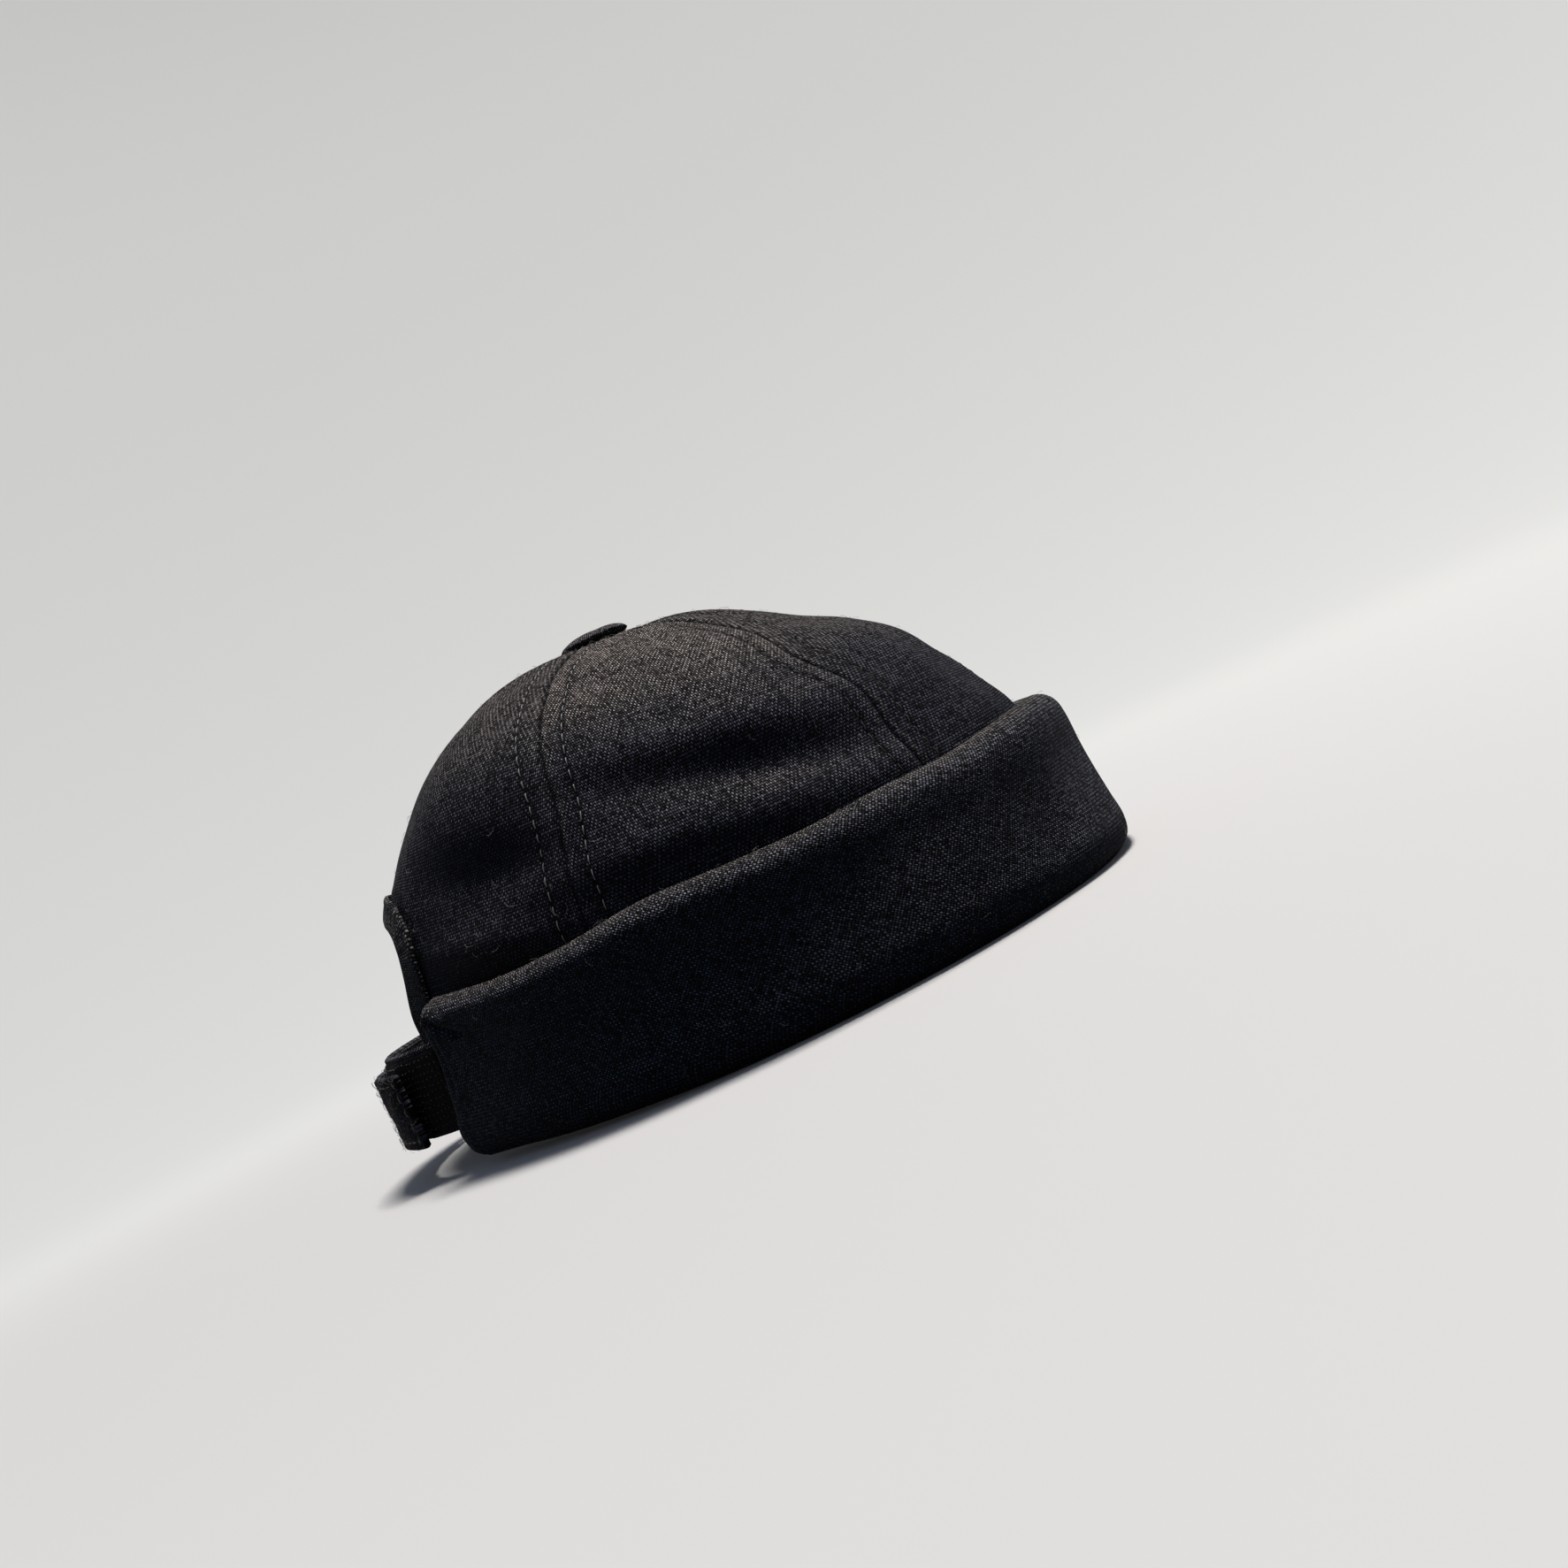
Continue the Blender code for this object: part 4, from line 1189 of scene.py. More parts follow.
    def flare(self, points: Array) -> Array:
        """How far the cloth flares out near the opening."""
        fade = np.clip(1 - self.edge_distance(points) / self.flare_reach, 0, 1) ** 2
        rise = smooth((points[..., 2] - self.flare_low) / (self.flare_high - self.flare_low))
        return fade * (self.flare_side + (self.flare_top - self.flare_side) * rise)

    def folded(self, azimuth: Array, height: Array, cuff_height: float) -> Array:
        """The crown's soft folds, which fade out under the cuff."""
        degrees = np.degrees(np.abs(azimuth))
        total = np.zeros(np.shape(height))
        for fold in self.folds:
            place = (degrees - fold.azimuth) / fold.reach
            rise = (height / self.height - fold.height - fold.slant * place) / fold.width
            total = total + fold.depth * np.exp(-(place**2) - rise**2)
        return self.fold * total * smooth(1 - (1 - height / cuff_height) / self.fold_fade)

    def soft(self, azimuth: Array, climb: Array) -> Array:
        """The outer face with its flare and folds."""
        points = self.plain(azimuth, climb)
        out = self.flare(points) + self.folded(azimuth, points[..., 2], CUFF_HEIGHT)
        return points + self.outward(self.plain, azimuth, climb) * out[..., None]

    def at(self, azimuth: Array, climb: Array, out: Array) -> Array:
        """Points at a distance out from the outer face."""
        away = np.asarray(out)[..., None]
        return self.soft(azimuth, climb) + self.outward(self.soft, azimuth, climb) * away


@dataclass
class Cuff:
    """The turned-up cuff: one band of cloth folded over at its top."""

    crown: Crown
    height: float = CUFF_HEIGHT
    stand: float = 10.0 * MM  # from the crown to its outer layer
    cloth: float = 1.8 * MM
    set_back: float = 4.8 * MM  # from the opening to the cuff's end
    end_lean: float = 8.5 * MM  # how much further from the opening the end's top is than its foot
    inner_set_back: float = 6.5 * MM  # the least of that for the inner layer
    inner_stand: float = 0.25  # the share of the stand within which the inner layer lies
    top_corner: float = 2.0 * MM
    bottom_corner: float = 9.0 * MM
    end_stand: float = 0.86  # how far it stands out at its end, as a share of elsewhere
    end_reach: float = math.radians(24.0)
    roll: float = 1.3 * MM  # how far the end's edge is rolled in
    roll_reach: float = 4.0 * MM
    unevenness: float = 0.35 * MM
    uneven_length: float = 34.0 * MM
    outer_start: float = 0.55  # how far out the outer layer's relief starts, and over how much it grows
    outer_rise: float = 0.25
    foot_rise: float = 6.0 * MM
    crease_ridge: float = 0.4  # how high the cloth rises beside a crease, in depths of it
    ridge_distance: float = 2.2  # in widths of the crease
    rubbed: float = 0.5
    fold_width: float = 0.05
    end_width: float = 0.006
    top_row: int = 5  # of the section, at the top fold
    measured_row: float = 0.6  # the share of the section at which the cuff's length is measured
    section: tuple[Pair, ...] = (
        Pair(0.16, 0.20),
        Pair(0.16, 0.48),
        Pair(0.17, 0.72),
        Pair(0.20, 0.90),
        Pair(0.30, 0.985),
        Pair(0.50, 1.01),
        Pair(0.76, 0.99),
        Pair(0.94, 0.935),
        Pair(0.95, 0.84),
        Pair(0.87, 0.66),
        Pair(0.88, 0.48),
        Pair(0.96, 0.31),
        Pair(1.04, 0.18),
        Pair(0.96, 0.08),
        Pair(0.74, 0.03),
        Pair(0.45, 0.0),
        Pair(0.18, 0.0),
        Pair(-0.06, 0.0),
    )
    edges: tuple[Edge, ...] = (
        Edge(1.000, 0.0),
        Edge(1.004, 0.0),
        Edge(0.996, 0.0),
        Edge(0.968, 0.0),
        Edge(0.935, 0.0),
        Edge(0.935, 0.0),
        Edge(0.919, 0.0),
        Edge(0.931, 0.0),
        Edge(0.949, 0.006),
        Edge(0.911, 0.020),
        Edge(0.899, 0.032),
        Edge(0.923, 0.046),
        Edge(0.956, 0.052),
    )
    creases: tuple[Crease, ...] = (
        Crease(5.0 * MM, 2.0 * MM, 14.0 * MM, 8.0 * MM, 1.2 * MM, 1.7 * MM),
        Crease(12.0 * MM, 8.0 * MM, 30.0 * MM, 14.0 * MM, 3.5 * MM, 0.6 * MM),
        Crease(3.2 * MM, 4.0 * MM, 3.6 * MM, 26.0 * MM, 1.0 * MM, 0.9 * MM),
    )

    ACROSS = ((0.0, 0.03, 24), (0.03, 0.97, 330), (0.97, 1.0, 24))  # the net's steps
    UP = ((0.0, 0.2, 14), (0.2, 0.5, 30), (0.5, 0.85, 30), (0.85, 1.0, 10))
    SEED = 11
    SHED = ((0.01, 0.99), (0.24, 0.78))  # the shares of its length and section that fibres lie on

    @cached_property
    def end(self) -> float:
        """The azimuth at which the cuff stops beside the opening."""
        edge = self.crown.arch_foot
        return float(edge - self.set_back / self.crown.turn_length(edge, 0.0))

    def tops(self, azimuth: Array) -> tuple[Array, Array]:
        """The heights of the cuff's top and foot there, as shares of its height."""
        top, foot = np.moveaxis(along(self.edges, np.abs(azimuth) / self.end), -1, 0)
        return np.maximum(top, 0), np.maximum(foot, 0)

    def hem_height(self, azimuth: Array) -> Array:
        """Height of the gores' lower edge, which rises beside the opening."""
        crown = self.crown
        start = crown.arch_foot
        away = (start - np.abs(azimuth)) * crown.turn_length(start, 0.0)
        lift = crown.hem_lift * np.clip(1 - away / crown.hem_lift_reach, 0, 1) ** 2
        return self.cloth + GAP + lift + self.tops(azimuth)[1] * self.height

    def corner(self, height: Array) -> Array:
        """How far the cuff's end is rounded back at that height."""
        back = np.zeros(np.shape(height))
        for radius, away in ((self.top_corner, self.height - height), (self.bottom_corner, height)):
            share = np.clip(1 - away / radius, 0, 1)
            back = back + radius * (1 - np.sqrt(1 - share**2))
        return back

    def puckers(self, from_end: Array, down: Array, outside: Array) -> Array:
        """The creases where the cuff's corner is tacked down."""
        total = np.zeros(from_end.shape)
        for crease in self.creases:
            run = np.array([crease.end_along - crease.start_along, crease.end_down - crease.start_down])
            dx, dy = from_end - crease.start_along, down - crease.start_down
            share = (dx * run[0] + dy * run[1]) / (run @ run)
            held = np.clip(share, 0, 1)
            gone = np.hypot(dx - held * run[0], dy - held * run[1])
            beside = bell(gone - self.ridge_distance * crease.width, crease.width)
            raised = self.crease_ridge * crease.depth * beside
            total = total - crease.depth * bell(gone, crease.width) + raised
        return total * outside

    def surface(self, across: Array, up: Array) -> Array:
        """The cloth, around the crown and along its folded section."""
        crown = self.crown
        out, height = np.moveaxis(along(self.section, up), -1, 0)
        height = np.maximum(height * self.height, self.cloth / 2)
        end = self.end
        low = np.clip(1 - height / self.height, 0, 1)
        shorter = self.corner(height) + self.end_lean * (1 - low)
        shorter = np.maximum(shorter, self.inner_set_back * np.clip(2 - out / self.inner_stand, 0, 1))
        reach = end - shorter / crown.turn_length(end, 0.0)
        azimuth = (2 * across - 1) * reach
        top, foot = self.tops(azimuth)
        near_end = np.clip(1 - (end - np.abs(azimuth)) / self.end_reach, 0, 1) ** 2
        stand = self.stand * (1 - (1 - self.end_stand) * near_end)
        away = np.maximum(out * stand, GAP + self.cloth / 2)
        away = np.where(height > self.cloth / 2, away, out * self.stand)
        turn = np.abs(azimuth)
        climb = crown.climb_at(turn, height)
        points = crown.plain(turn, climb)
        from_end = (1 - np.abs(2 * across - 1)) * reach * crown.turn_length(end, 0.0)
        outside = smooth((out - self.outer_start) / self.outer_rise) * smooth(height / self.foot_rise)
        soft = self.unevenness * ripples(points, self.uneven_length, self.SEED) * outside
        tucked = self.roll * (1 - smooth(from_end / self.roll_reach)) * outside
        away = away + self.puckers(from_end, self.height * top - height, outside) + soft - tucked
        away = crown.flare(points) + away
        points = points + level(crown.outward(crown.plain, turn, climb)) * away[..., None]
        points[..., 2] = height * (1 - (1 - top) * (1 - low) ** 2) + foot * low * self.height
        return mirrored(points, np.where(azimuth < 0, -1.0, 1.0))

    def shed(self, fibres: SewnLines, amount: Shed) -> None:
        """Adds random points of the cuff's outer face for fibres to grow on."""
        across, up = amount.places(self.SHED)
        face = -facing(self.surface, across, up, FACE_STEP)
        fibres.add(self.surface(across, up) + face * (self.cloth / 2 + FIBRE_LIFT), face)

    def build(self) -> None:
        """Makes the cuff."""
        across = stepped(*self.ACROSS)
        up = stepped(*self.UP)[::-1]
        wide, tall = np.meshgrid(across, up)
        points = self.surface(wide, tall)
        length = run_along(points[:, len(across) // 2])
        width = run_along(points[int(np.argmin(np.abs(up - self.measured_row)))])
        weave = np.stack(np.broadcast_arrays(width[None, :], length[:, None]), -1)
        top_fold = bell(tall - self.top_row / (len(self.section) - 1), self.fold_width)
        ends = 1 - smooth(np.minimum(wide, 1 - wide) / self.end_width)
        wear = self.rubbed * np.clip(top_fold + ends, 0, 1)
        cut = ClothSheet("cuff_linen", points, weave, self.cloth, wear=wear)
        cut.lay("cuff", BIAS_LINEN, Hold.FOLDED, "panel_front_right", "panel_front_left")


@dataclass
class Gore:
    """One of the crown's six panels."""

    crown: Crown
    cuff: Cuff
    place: Place
    side: Side

    SEEDS = {Side.RIGHT: 3, Side.LEFT: 5}  # of the cloth's unevenness
    MIDDLES = {Place.FRONT: 0.45, Place.SIDE: 1.39, Place.BACK: 2.4}  # azimuths that its warp follows
    SEWN = 0.5  # how fully the far edge has to be a seam to be worn like one
    CLOSING = 0.12  # how soon over the opening the far edge is a seam, as a share of the rest
    SHED = ((0.01, 0.99), (0.3, 0.97))  # the shares of its width and height that fibres lie on
    ACROSS = ((0.0, 0.115, 18), (0.115, 0.885, 46), (0.885, 1.0, 18))  # the net's steps, finer near seams
    UP = ((0.0, 0.2, 18), (0.2, 1.0, 110))
    BACK_ACROSS = ((0.0, 0.17, 18), (0.17, 0.85, 34), (0.85, 1.0, 14))
    BACK_UP = ((0.0, 0.35, 26), (0.35, Crown.arch_share, 34), (Crown.arch_share, 1.0, 56))
    STITCH_POINTS = 150
    MERIDIAN_POINTS = 200

    @property
    def name(self) -> str:
        """The node that the gore stands for."""
        return f"panel_{self.place.value}_{self.side.name.lower()}"

    def seam(self, azimuth: Array, climb: Array, towards: float) -> Array:
        """A seam's azimuth, moved by half a gap into the gore."""
        return azimuth + towards * self.crown.seam_gap / 2 / self.crown.turn_length(azimuth, climb)

    def net(self, share: Array, up: Array) -> tuple[Array, Array, Array, Array]:
        """The gore's own coordinates.

        Args:
            share: from the front seam (0) to the back seam or the opening (1).
            up: from the hem (0) to the button (1).

        Returns:
            Azimuth, climb, width of the gore at that height, and how fully the far side is a seam.
        """
        crown = self.crown
        if self.place is Place.BACK:
            at_arch = crown.arch_share
            climbed = np.clip((up - at_arch) / (1 - at_arch), 0, 1)
            top = crown.arch_top
            edge_azimuth, edge_climb = crown.arch_edge(np.clip(up / at_arch, 0, 1))
            end_climb = np.where(up <= at_arch, edge_climb, top + (1 - top) * climbed)
            end = self.seam(edge_azimuth, end_climb, -1)
            start_climb = np.where(up <= at_arch, up / at_arch * top, top + (1 - top) * climbed)
            start = self.seam(crown.back_side_seam(start_climb), start_climb, 1)
            climb = start_climb + share * (end_climb - start_climb)
            sewn = smooth(climbed / self.CLOSING)
        else:
            climb = up
            first, last = 0.0 * climb, crown.front_side_seam(climb)
            if self.place is Place.SIDE:
                first, last = last, crown.back_side_seam(climb)
            start, end = self.seam(first, climb, 1), self.seam(last, climb, -1)
            sewn = np.ones(np.shape(up))
        azimuth = start + share * (end - start)
        climb = self.above_hem(azimuth, climb)
        return azimuth, climb, (end - start) * crown.turn_length((start + end) / 2, climb), sewn

    def above_hem(self, azimuth: Array, climb: Array) -> Array:
        """The climb again, squeezed so that it starts at the hem."""
        start = self.crown.climb_at(azimuth, self.cuff.hem_height(azimuth))
        return start + (1 - start) * climb

    def stitch_distance(self, width: Array) -> Array:
        """How far from a seam its topstitching runs, closer together where the gore narrows."""
        return np.minimum(self.crown.stitch_from_seam, self.crown.stitch_share * width)

    def sewing(self, distance: Array, width: Array) -> Array:
        """The relief of a seam, its allowance and its topstitching."""
        crown = self.crown
        line = self.stitch_distance(width)
        pad = crown.seam_pad * smooth((line + crown.pad_past - distance) / crown.pad_fade)
        dip = crown.seam_dip * bell(distance, crown.dip_width)
        return pad - dip - crown.groove * bell(distance - line, crown.groove_width)

    def surface(self, across: Array, up: Array) -> Array:
        """The gore's outer face, with columns that run to the wearer's left of the gore's middle."""
        crown = self.crown
        share = across if self.side is Side.LEFT else 1 - across
        azimuth, climb, width, sewn = self.net(share, up)
        plain = crown.plain(azimuth, climb)
        free = smooth(plain[..., 2] / CUFF_HEIGHT - 1) * smooth((1 - up) / crown.puff_fade)
        edge = crown.edge_distance(plain)
        clear = smooth((edge - crown.puff_clear) / crown.flare_reach)
        puff = crown.puff * 4 * share * (1 - share) * free * clear
        first = self.sewing(share * width, width)
        last = self.sewing((1 - share) * width, width) * sewn
        risen = smooth((plain[..., 2] - crown.relief_low) / crown.relief_rise)
        shown = crown.hidden_relief + (1 - crown.hidden_relief) * risen
        shown = shown * smooth((edge - crown.relief_clear) / crown.relief_fade)
        soft = crown.unevenness * ripples(plain, crown.uneven_length, self.SEEDS[self.side])
        soft = soft * smooth((1 - climb) / crown.uneven_fade)
        sway = crown.fan_sway * np.sin(crown.fan_sway_count * azimuth)
        fan = crown.fan * np.sin(azimuth * crown.fan_count + sway)
        fan = fan * smooth((climb - crown.fan_low) / crown.fan_rise) * smooth((1 - climb) / crown.fan_end)
        points = crown.at(azimuth, climb, puff + fan + (first + last + soft) * shown)
        return mirrored(points, float(self.side.value))

    def face_line(self, across: Array, up: Array, out: float) -> tuple[Array, Array]:
        """Points on the gore's face and the directions out of it."""
        face = facing(lambda x, y: self.surface(np.clip(x, 0, 1), np.clip(y, 0, 1)), across, up, FACE_STEP)
        return self.surface(across, up) + face * out, face

    def topstitch(self, lines: SewnLines, line: StitchLine) -> None:
        """Adds the stitch line beside one of the gore's seams."""
        up = np.linspace(line.low, line.high, self.STITCH_POINTS)
        half = np.full(up.shape, 0.5)
        width = self.net(half, up)[2]
        share = self.stitch_distance(width) / width
        share = 1 - share if line.far else share
        across = share if self.side is Side.LEFT else 1 - share
        lines.add(*self.face_line(across, up, STITCH_LIFT))

    def shed(self, fibres: SewnLines, amount: Shed) -> None:
        """Adds random points of the gore's face for fibres to grow on."""
        across, up = amount.places(self.SHED)
        fibres.add(*self.face_line(across, up, FIBRE_LIFT))

    def build(self) -> None:
        """Makes the gore."""
        crown = self.crown
        back = self.place is Place.BACK
        share = stepped(*(self.BACK_ACROSS if back else self.ACROSS))
        up = stepped(*(self.BACK_UP if back else self.UP))
        across = share if self.side is Side.LEFT else 1 - share[::-1]
        wide, tall = np.meshgrid(across, up)
        points = self.surface(wide, tall)
        shares = wide if self.side is Side.LEFT else 1 - wide
        azimuth, climb, width, sewn = self.net(shares, tall)
        middle = self.MIDDLES[self.place]
        steps = np.linspace(0, 1, self.MERIDIAN_POINTS)
        meridian = crown.plain(np.full(steps.shape, middle), steps)
        lengths = run_along(meridian)
        u = (azimuth - middle) * crown.turn_length(np.full(climb.shape, middle), climb) * self.side.value
        weave = np.stack([u, np.interp(climb, steps, lengths)], -1)
        near = np.minimum(shares, np.where(sewn > self.SEWN, 1 - shares, 1.0)) * width
        # Lighter where rubbed beside the seam; painted shade darkens the seam itself and the stitch lines.
        wear = crown.ridge.on(near) + crown.seam_shade.on(near)
        wear = wear + crown.stitch_shade.on(near - self.stitch_distance(width))
        cut = ClothSheet(self.name + "_linen", points, weave, crown.cloth, 0.0, wear)
        finish = LINEN if self.place is Place.SIDE else SHADED_LINEN  # the front and back gores wear a darker copy of the linen, which is painted shade
        cut.lay(self.name, finish, Hold.STRETCHED, "cuff")


@dataclass
class Binding:
    """The folded strip that edges the opening."""

    crown: Crown
    cuff: Cuff
    width: float = 8.5 * MM  # on the gore's face, beside the opening
    top_width: float = 6.3 * MM  # and over it
    cloth: float = 1.0 * MM
    gap: float = 0.75 * MM  # between its cloth and the gore's
    puckering: float = 0.12 * MM  # how deep the stitches pull it in
    pucker_length: float = 2.6 * MM
    ripple_length: float = 7.0 * MM
    stitch_row: float = 0.04  # the share of the section at which it is sewn
    pucker_row: float = 0.08  # and at which the stitches pull it in most
    stitch_dip: float = 0.25 * MM
    stitch_lift: float = 0.04 * MM
    section: tuple[BindingPoint, ...] = (
        BindingPoint(1.0, 0.0, 1.0),
        BindingPoint(0.5, 0.0, 1.0),
        BindingPoint(0.0, 0.0, 1.0),
        BindingPoint(0.0, 0.8, 0.76),
        BindingPoint(0.0, 1.0, 0.0),
        BindingPoint(0.0, 0.8, -0.76),
        BindingPoint(0.0, 0.0, -1.0),
        BindingPoint(0.5, 0.0, -1.0),
        BindingPoint(1.0, 0.0, -1.0),
    )
    edge_step: float = 0.01  # the share of the opening's edge over which its run is measured
    measured_column: int = 40  # where the strip's width is measured

    ACROSS = ((0.0, 1.0, 220),)  # the net's steps
    UP = ((0.0, 0.25, 9), (0.25, 0.75, 22), (0.75, 1.0, 9))
    SEED = 21
    FACE_SHARE = 0.5  # the share of the section that lies on the outer side
    FADE_OUT = 0.1  # the share of the section over which its relief ends
    STITCH_WIDTH = 0.03
    RUBBED_ROW = 0.38  # the share of the section at which it is rubbed most
    RUBBED_WIDTH = 0.12
    RUBBED = 0.7
    RUBBED_ALL = 0.25  # how much it is rubbed everywhere

    def surface(self, across: Array, up: Array) -> Array:
        """The strip, along the opening from corner to corner and around the gores' edge."""
        crown = self.crown
        share = 1 - np.abs(2 * across - 1)
        azimuth, climb = crown.arch_edge(share)
        climb = np.maximum(climb, crown.climb_at(azimuth, self.cuff.hem_height(azimuth)))
        before, after = np.maximum(share - self.edge_step, 0.0), np.minimum(share + self.edge_step, 1.0)
        run = unit(crown.at(*crown.arch_edge(after), 0.0) - crown.at(*crown.arch_edge(before), 0.0))
        run = np.where((share > 1 - self.edge_step)[..., None], np.array([-1.0, 0.0, 0.0]), run)
        inward = unit(np.cross(run, crown.outward(crown.soft, azimuth, climb)))
        face = crown.outward(crown.soft, *crown.moved(azimuth, climb, -inward * self.gap))
        inward = unit(np.cross(run, face))
        room = crown.cloth / 2 + self.gap + self.cloth / 2
        into, past, over = np.moveaxis(along(self.section, up), -1, 0)
        width = self.width + (self.top_width - self.width) * smooth(share / crown.arch_straight - 1)
        into = into * width - past * (room - crown.cloth / 2)
        over = over * room - crown.cloth / 2
        on_gore = crown.at(*crown.moved(azimuth, climb, -inward * into[..., None]), over)
        past_edge = crown.at(azimuth, climb, 0.0) - inward * into[..., None] + face * over[..., None]
        points = np.where((into > 0)[..., None], on_gore, past_edge)
        return mirrored(points, np.where(across < 0.5, -1.0, 1.0))

    def build(self, lines: SewnLines) -> None:
        """Makes the binding and adds its stitch line."""
        across = stepped(*self.ACROSS)
        up = stepped(*self.UP)[::-1]
        wide, tall = np.meshgrid(across, up)
        points = self.surface(wide, tall)
        length = run_along(points[len(up) // 2])
        around = run_along(points[:, self.measured_column])
        weave = np.stack(np.broadcast_arrays(length[None, :], around[:, None]), -1)
        out = out_of(points)
        shown = smooth((self.FACE_SHARE - tall) / self.FADE_OUT)
        stitched = bell(tall - self.stitch_row, self.STITCH_WIDTH)
        waves = np.sin(length * (2 * math.pi / self.pucker_length))[None, :]
        waves = waves * bell(tall - self.pucker_row, self.FADE_OUT)
        relief = self.puckering * (waves + ripples(points, self.ripple_length, self.SEED)) * shown
        relief = relief - self.stitch_dip * stitched
        points = points + out * relief[..., None]
        wear = self.RUBBED * bell(tall - self.RUBBED_ROW, self.RUBBED_WIDTH) + self.RUBBED_ALL
        cut = ClothSheet("arch_binding_linen", points, weave, self.cloth, wear=wear)
        cut.lay("arch_binding", BINDING_LINEN, Hold.FOLDED, "panel_back_left")
        line = int(np.argmin(np.abs(up - self.stitch_row)))
        lines.add(points[line] + out[line] * (self.cloth / 2 + self.stitch_lift), out[line])


@dataclass
class Straps:
    """The two straps behind the opening and their hook and loop tapes."""

    crown: Crown
    cuff: Cuff
    cloth: float = 2.0 * MM
    inner: StrapSize = StrapSize(Side.RIGHT, 12.0 * MM, 24.0 * MM)
    outer: StrapSize = StrapSize(Side.LEFT, 11.0 * MM, 21.0 * MM)
    bulge: float = 26.2 * MM  # how far the straps' middle is behind where they come free
    start: float = 4.5 * MM  # from the cuff's end back to where a strap comes free
    root: float = 8.0 * MM  # how long a strap is held before that
    root_out: float = 0.44  # where between the cuff's layers, as a share of its stand
    tape_cloth: float = 1.0 * MM
    tape_margin: float = 1.5 * MM
    inner_crossing: float = 0.38  # how far past the middle a strap ends, as a share of the half line
    outer_crossing: float = 0.55
    hook_start: float = 0.80  # how far before the middle a tape starts
    loop_start: float = 0.35
    tape_shorter: float = 0.05  # how much sooner than its strap a tape ends
    ease_start: float = 0.10  # how soon after it comes free the outer strap parts from the shared line
    ease: float = 0.46  # and the share of the half line over which it does
    grid: float = 0.9 * MM
    ripple: float = 0.18 * MM
    ripple_length: float = 9.0 * MM
    groove: float = 0.35 * MM  # along the stitches at the edges
    groove_inset: float = 2.2 * MM
    groove_width: float = 0.7 * MM
    relief_fade: float = 12.0 * MM
    rubbed: Wear = Wear(0.0, 1.2 * MM, 0.5)
    stitch_lift: float = 0.05 * MM
    stitch_start: float = 14.0 * MM
    box_length: float = 16.0 * MM  # of the stitched box at a strap's free end
    stitch_inset: int = 2  # in steps of the grid
    fibre_lift: float = 0.1 * MM
    bare_part: int = 3  # one part in so many of a strap, at its held end, has no loose fibres
    hook_cloth: float = 0.5 * MM
    hook_height: float = 0.75 * MM
    hook_wire: float = 0.2 * MM
    hook_step: int = 2  # from hook to hook, in steps of the grid
    held_points: int = 5
    path_points: int = 90
    seed: int = 31
    hook_seed: int = 17
    line: tuple[Pair, ...] = (
        Pair(1.000, 0.00),
        Pair(0.950, 0.06),
        Pair(0.880, 0.27),
        Pair(0.720, 0.63),
        Pair(0.480, 0.87),
        Pair(0.240, 0.97),
        Pair(0.000, 1.00),
    )

    def root_point(self, before: float) -> Array:
        """A point of a strap between the cuff's layers, at a distance before the cuff's end."""
        end = self.cuff.end
        azimuth = end - before / self.crown.turn_length(end, 0.0)
        climb = self.crown.climb_at(azimuth, self.inner.bottom + self.inner.width / 2)
        point = self.crown.plain(azimuth, climb)
        direction = level(self.crown.outward(self.crown.plain, azimuth, climb))
        return (point + direction * (self.crown.flare(point) + self.root_out * self.cuff.stand))[:2]

    def path(self, start: float, crossing: float, out: float) -> Array:
        """A strap's or a tape's line, seen from above.

        Args:
            start: how far before the middle it starts, as a share of the half line, or 1 for a strap.
            crossing: how far past the middle it ends.
            out: how far out it lies from the line that both straps share.

        Returns:
            Points of the wearer's left.
        """
        root = self.root_point(self.start)
        shares = np.linspace(start, -crossing, self.path_points)
        across, back = np.moveaxis(along(self.line, 1 - np.abs(shares)), -1, 0)
        free = np.stack([np.sign(shares) * across * root[0], root[1] + back * self.bulge], -1)
        step = unit(np.gradient(free, axis=0))
        away = np.stack([step[:, 1], -step[:, 0]], -1)
        if start < 1.0:
            return free + away * out
        eased = smooth((1.0 - self.ease_start - shares) / self.ease)
        free = free + away * (out * eased)[:, None]
        held = np.linspace(self.root, 0.0, self.held_points, endpoint=False)
        return np.vstack([[self.root_point(self.start + before) for before in held], free])

    def band(
        self, name: str, path: Array, strap: StrapSize, cloth: float, margin: float = 0.0
    ) -> ClothSheet:
        """A band of cloth standing on edge along a path, narrower than its strap by the margins."""
        side, bottom, width = strap.side, strap.bottom + margin, strap.width - 2 * margin
        lengths = run_along(path)
        run = np.linspace(0.0, lengths[-1], int(lengths[-1] / self.grid))
        rise = np.linspace(0.0, width, int(width / self.grid))
        wide, tall = np.meshgrid(run, rise)
        x, y = (np.interp(wide, lengths, path[:, k]) for k in range(2))
        points = np.stack([side.value * x, y, bottom + tall], -1)
        out = out_of(points)
        inset = np.minimum(np.minimum(tall, width - tall), lengths[-1] - wide)
        relief = self.ripple * ripples(points, self.ripple_length, self.seed)
        relief = relief - self.groove * bell(inset - self.groove_inset, self.groove_width)
        points = points + out * (relief * smooth(wide / self.relief_fade))[..., None]
        return ClothSheet(name, points, np.stack([wide, tall], -1), cloth, wear=self.rubbed.on(inset))

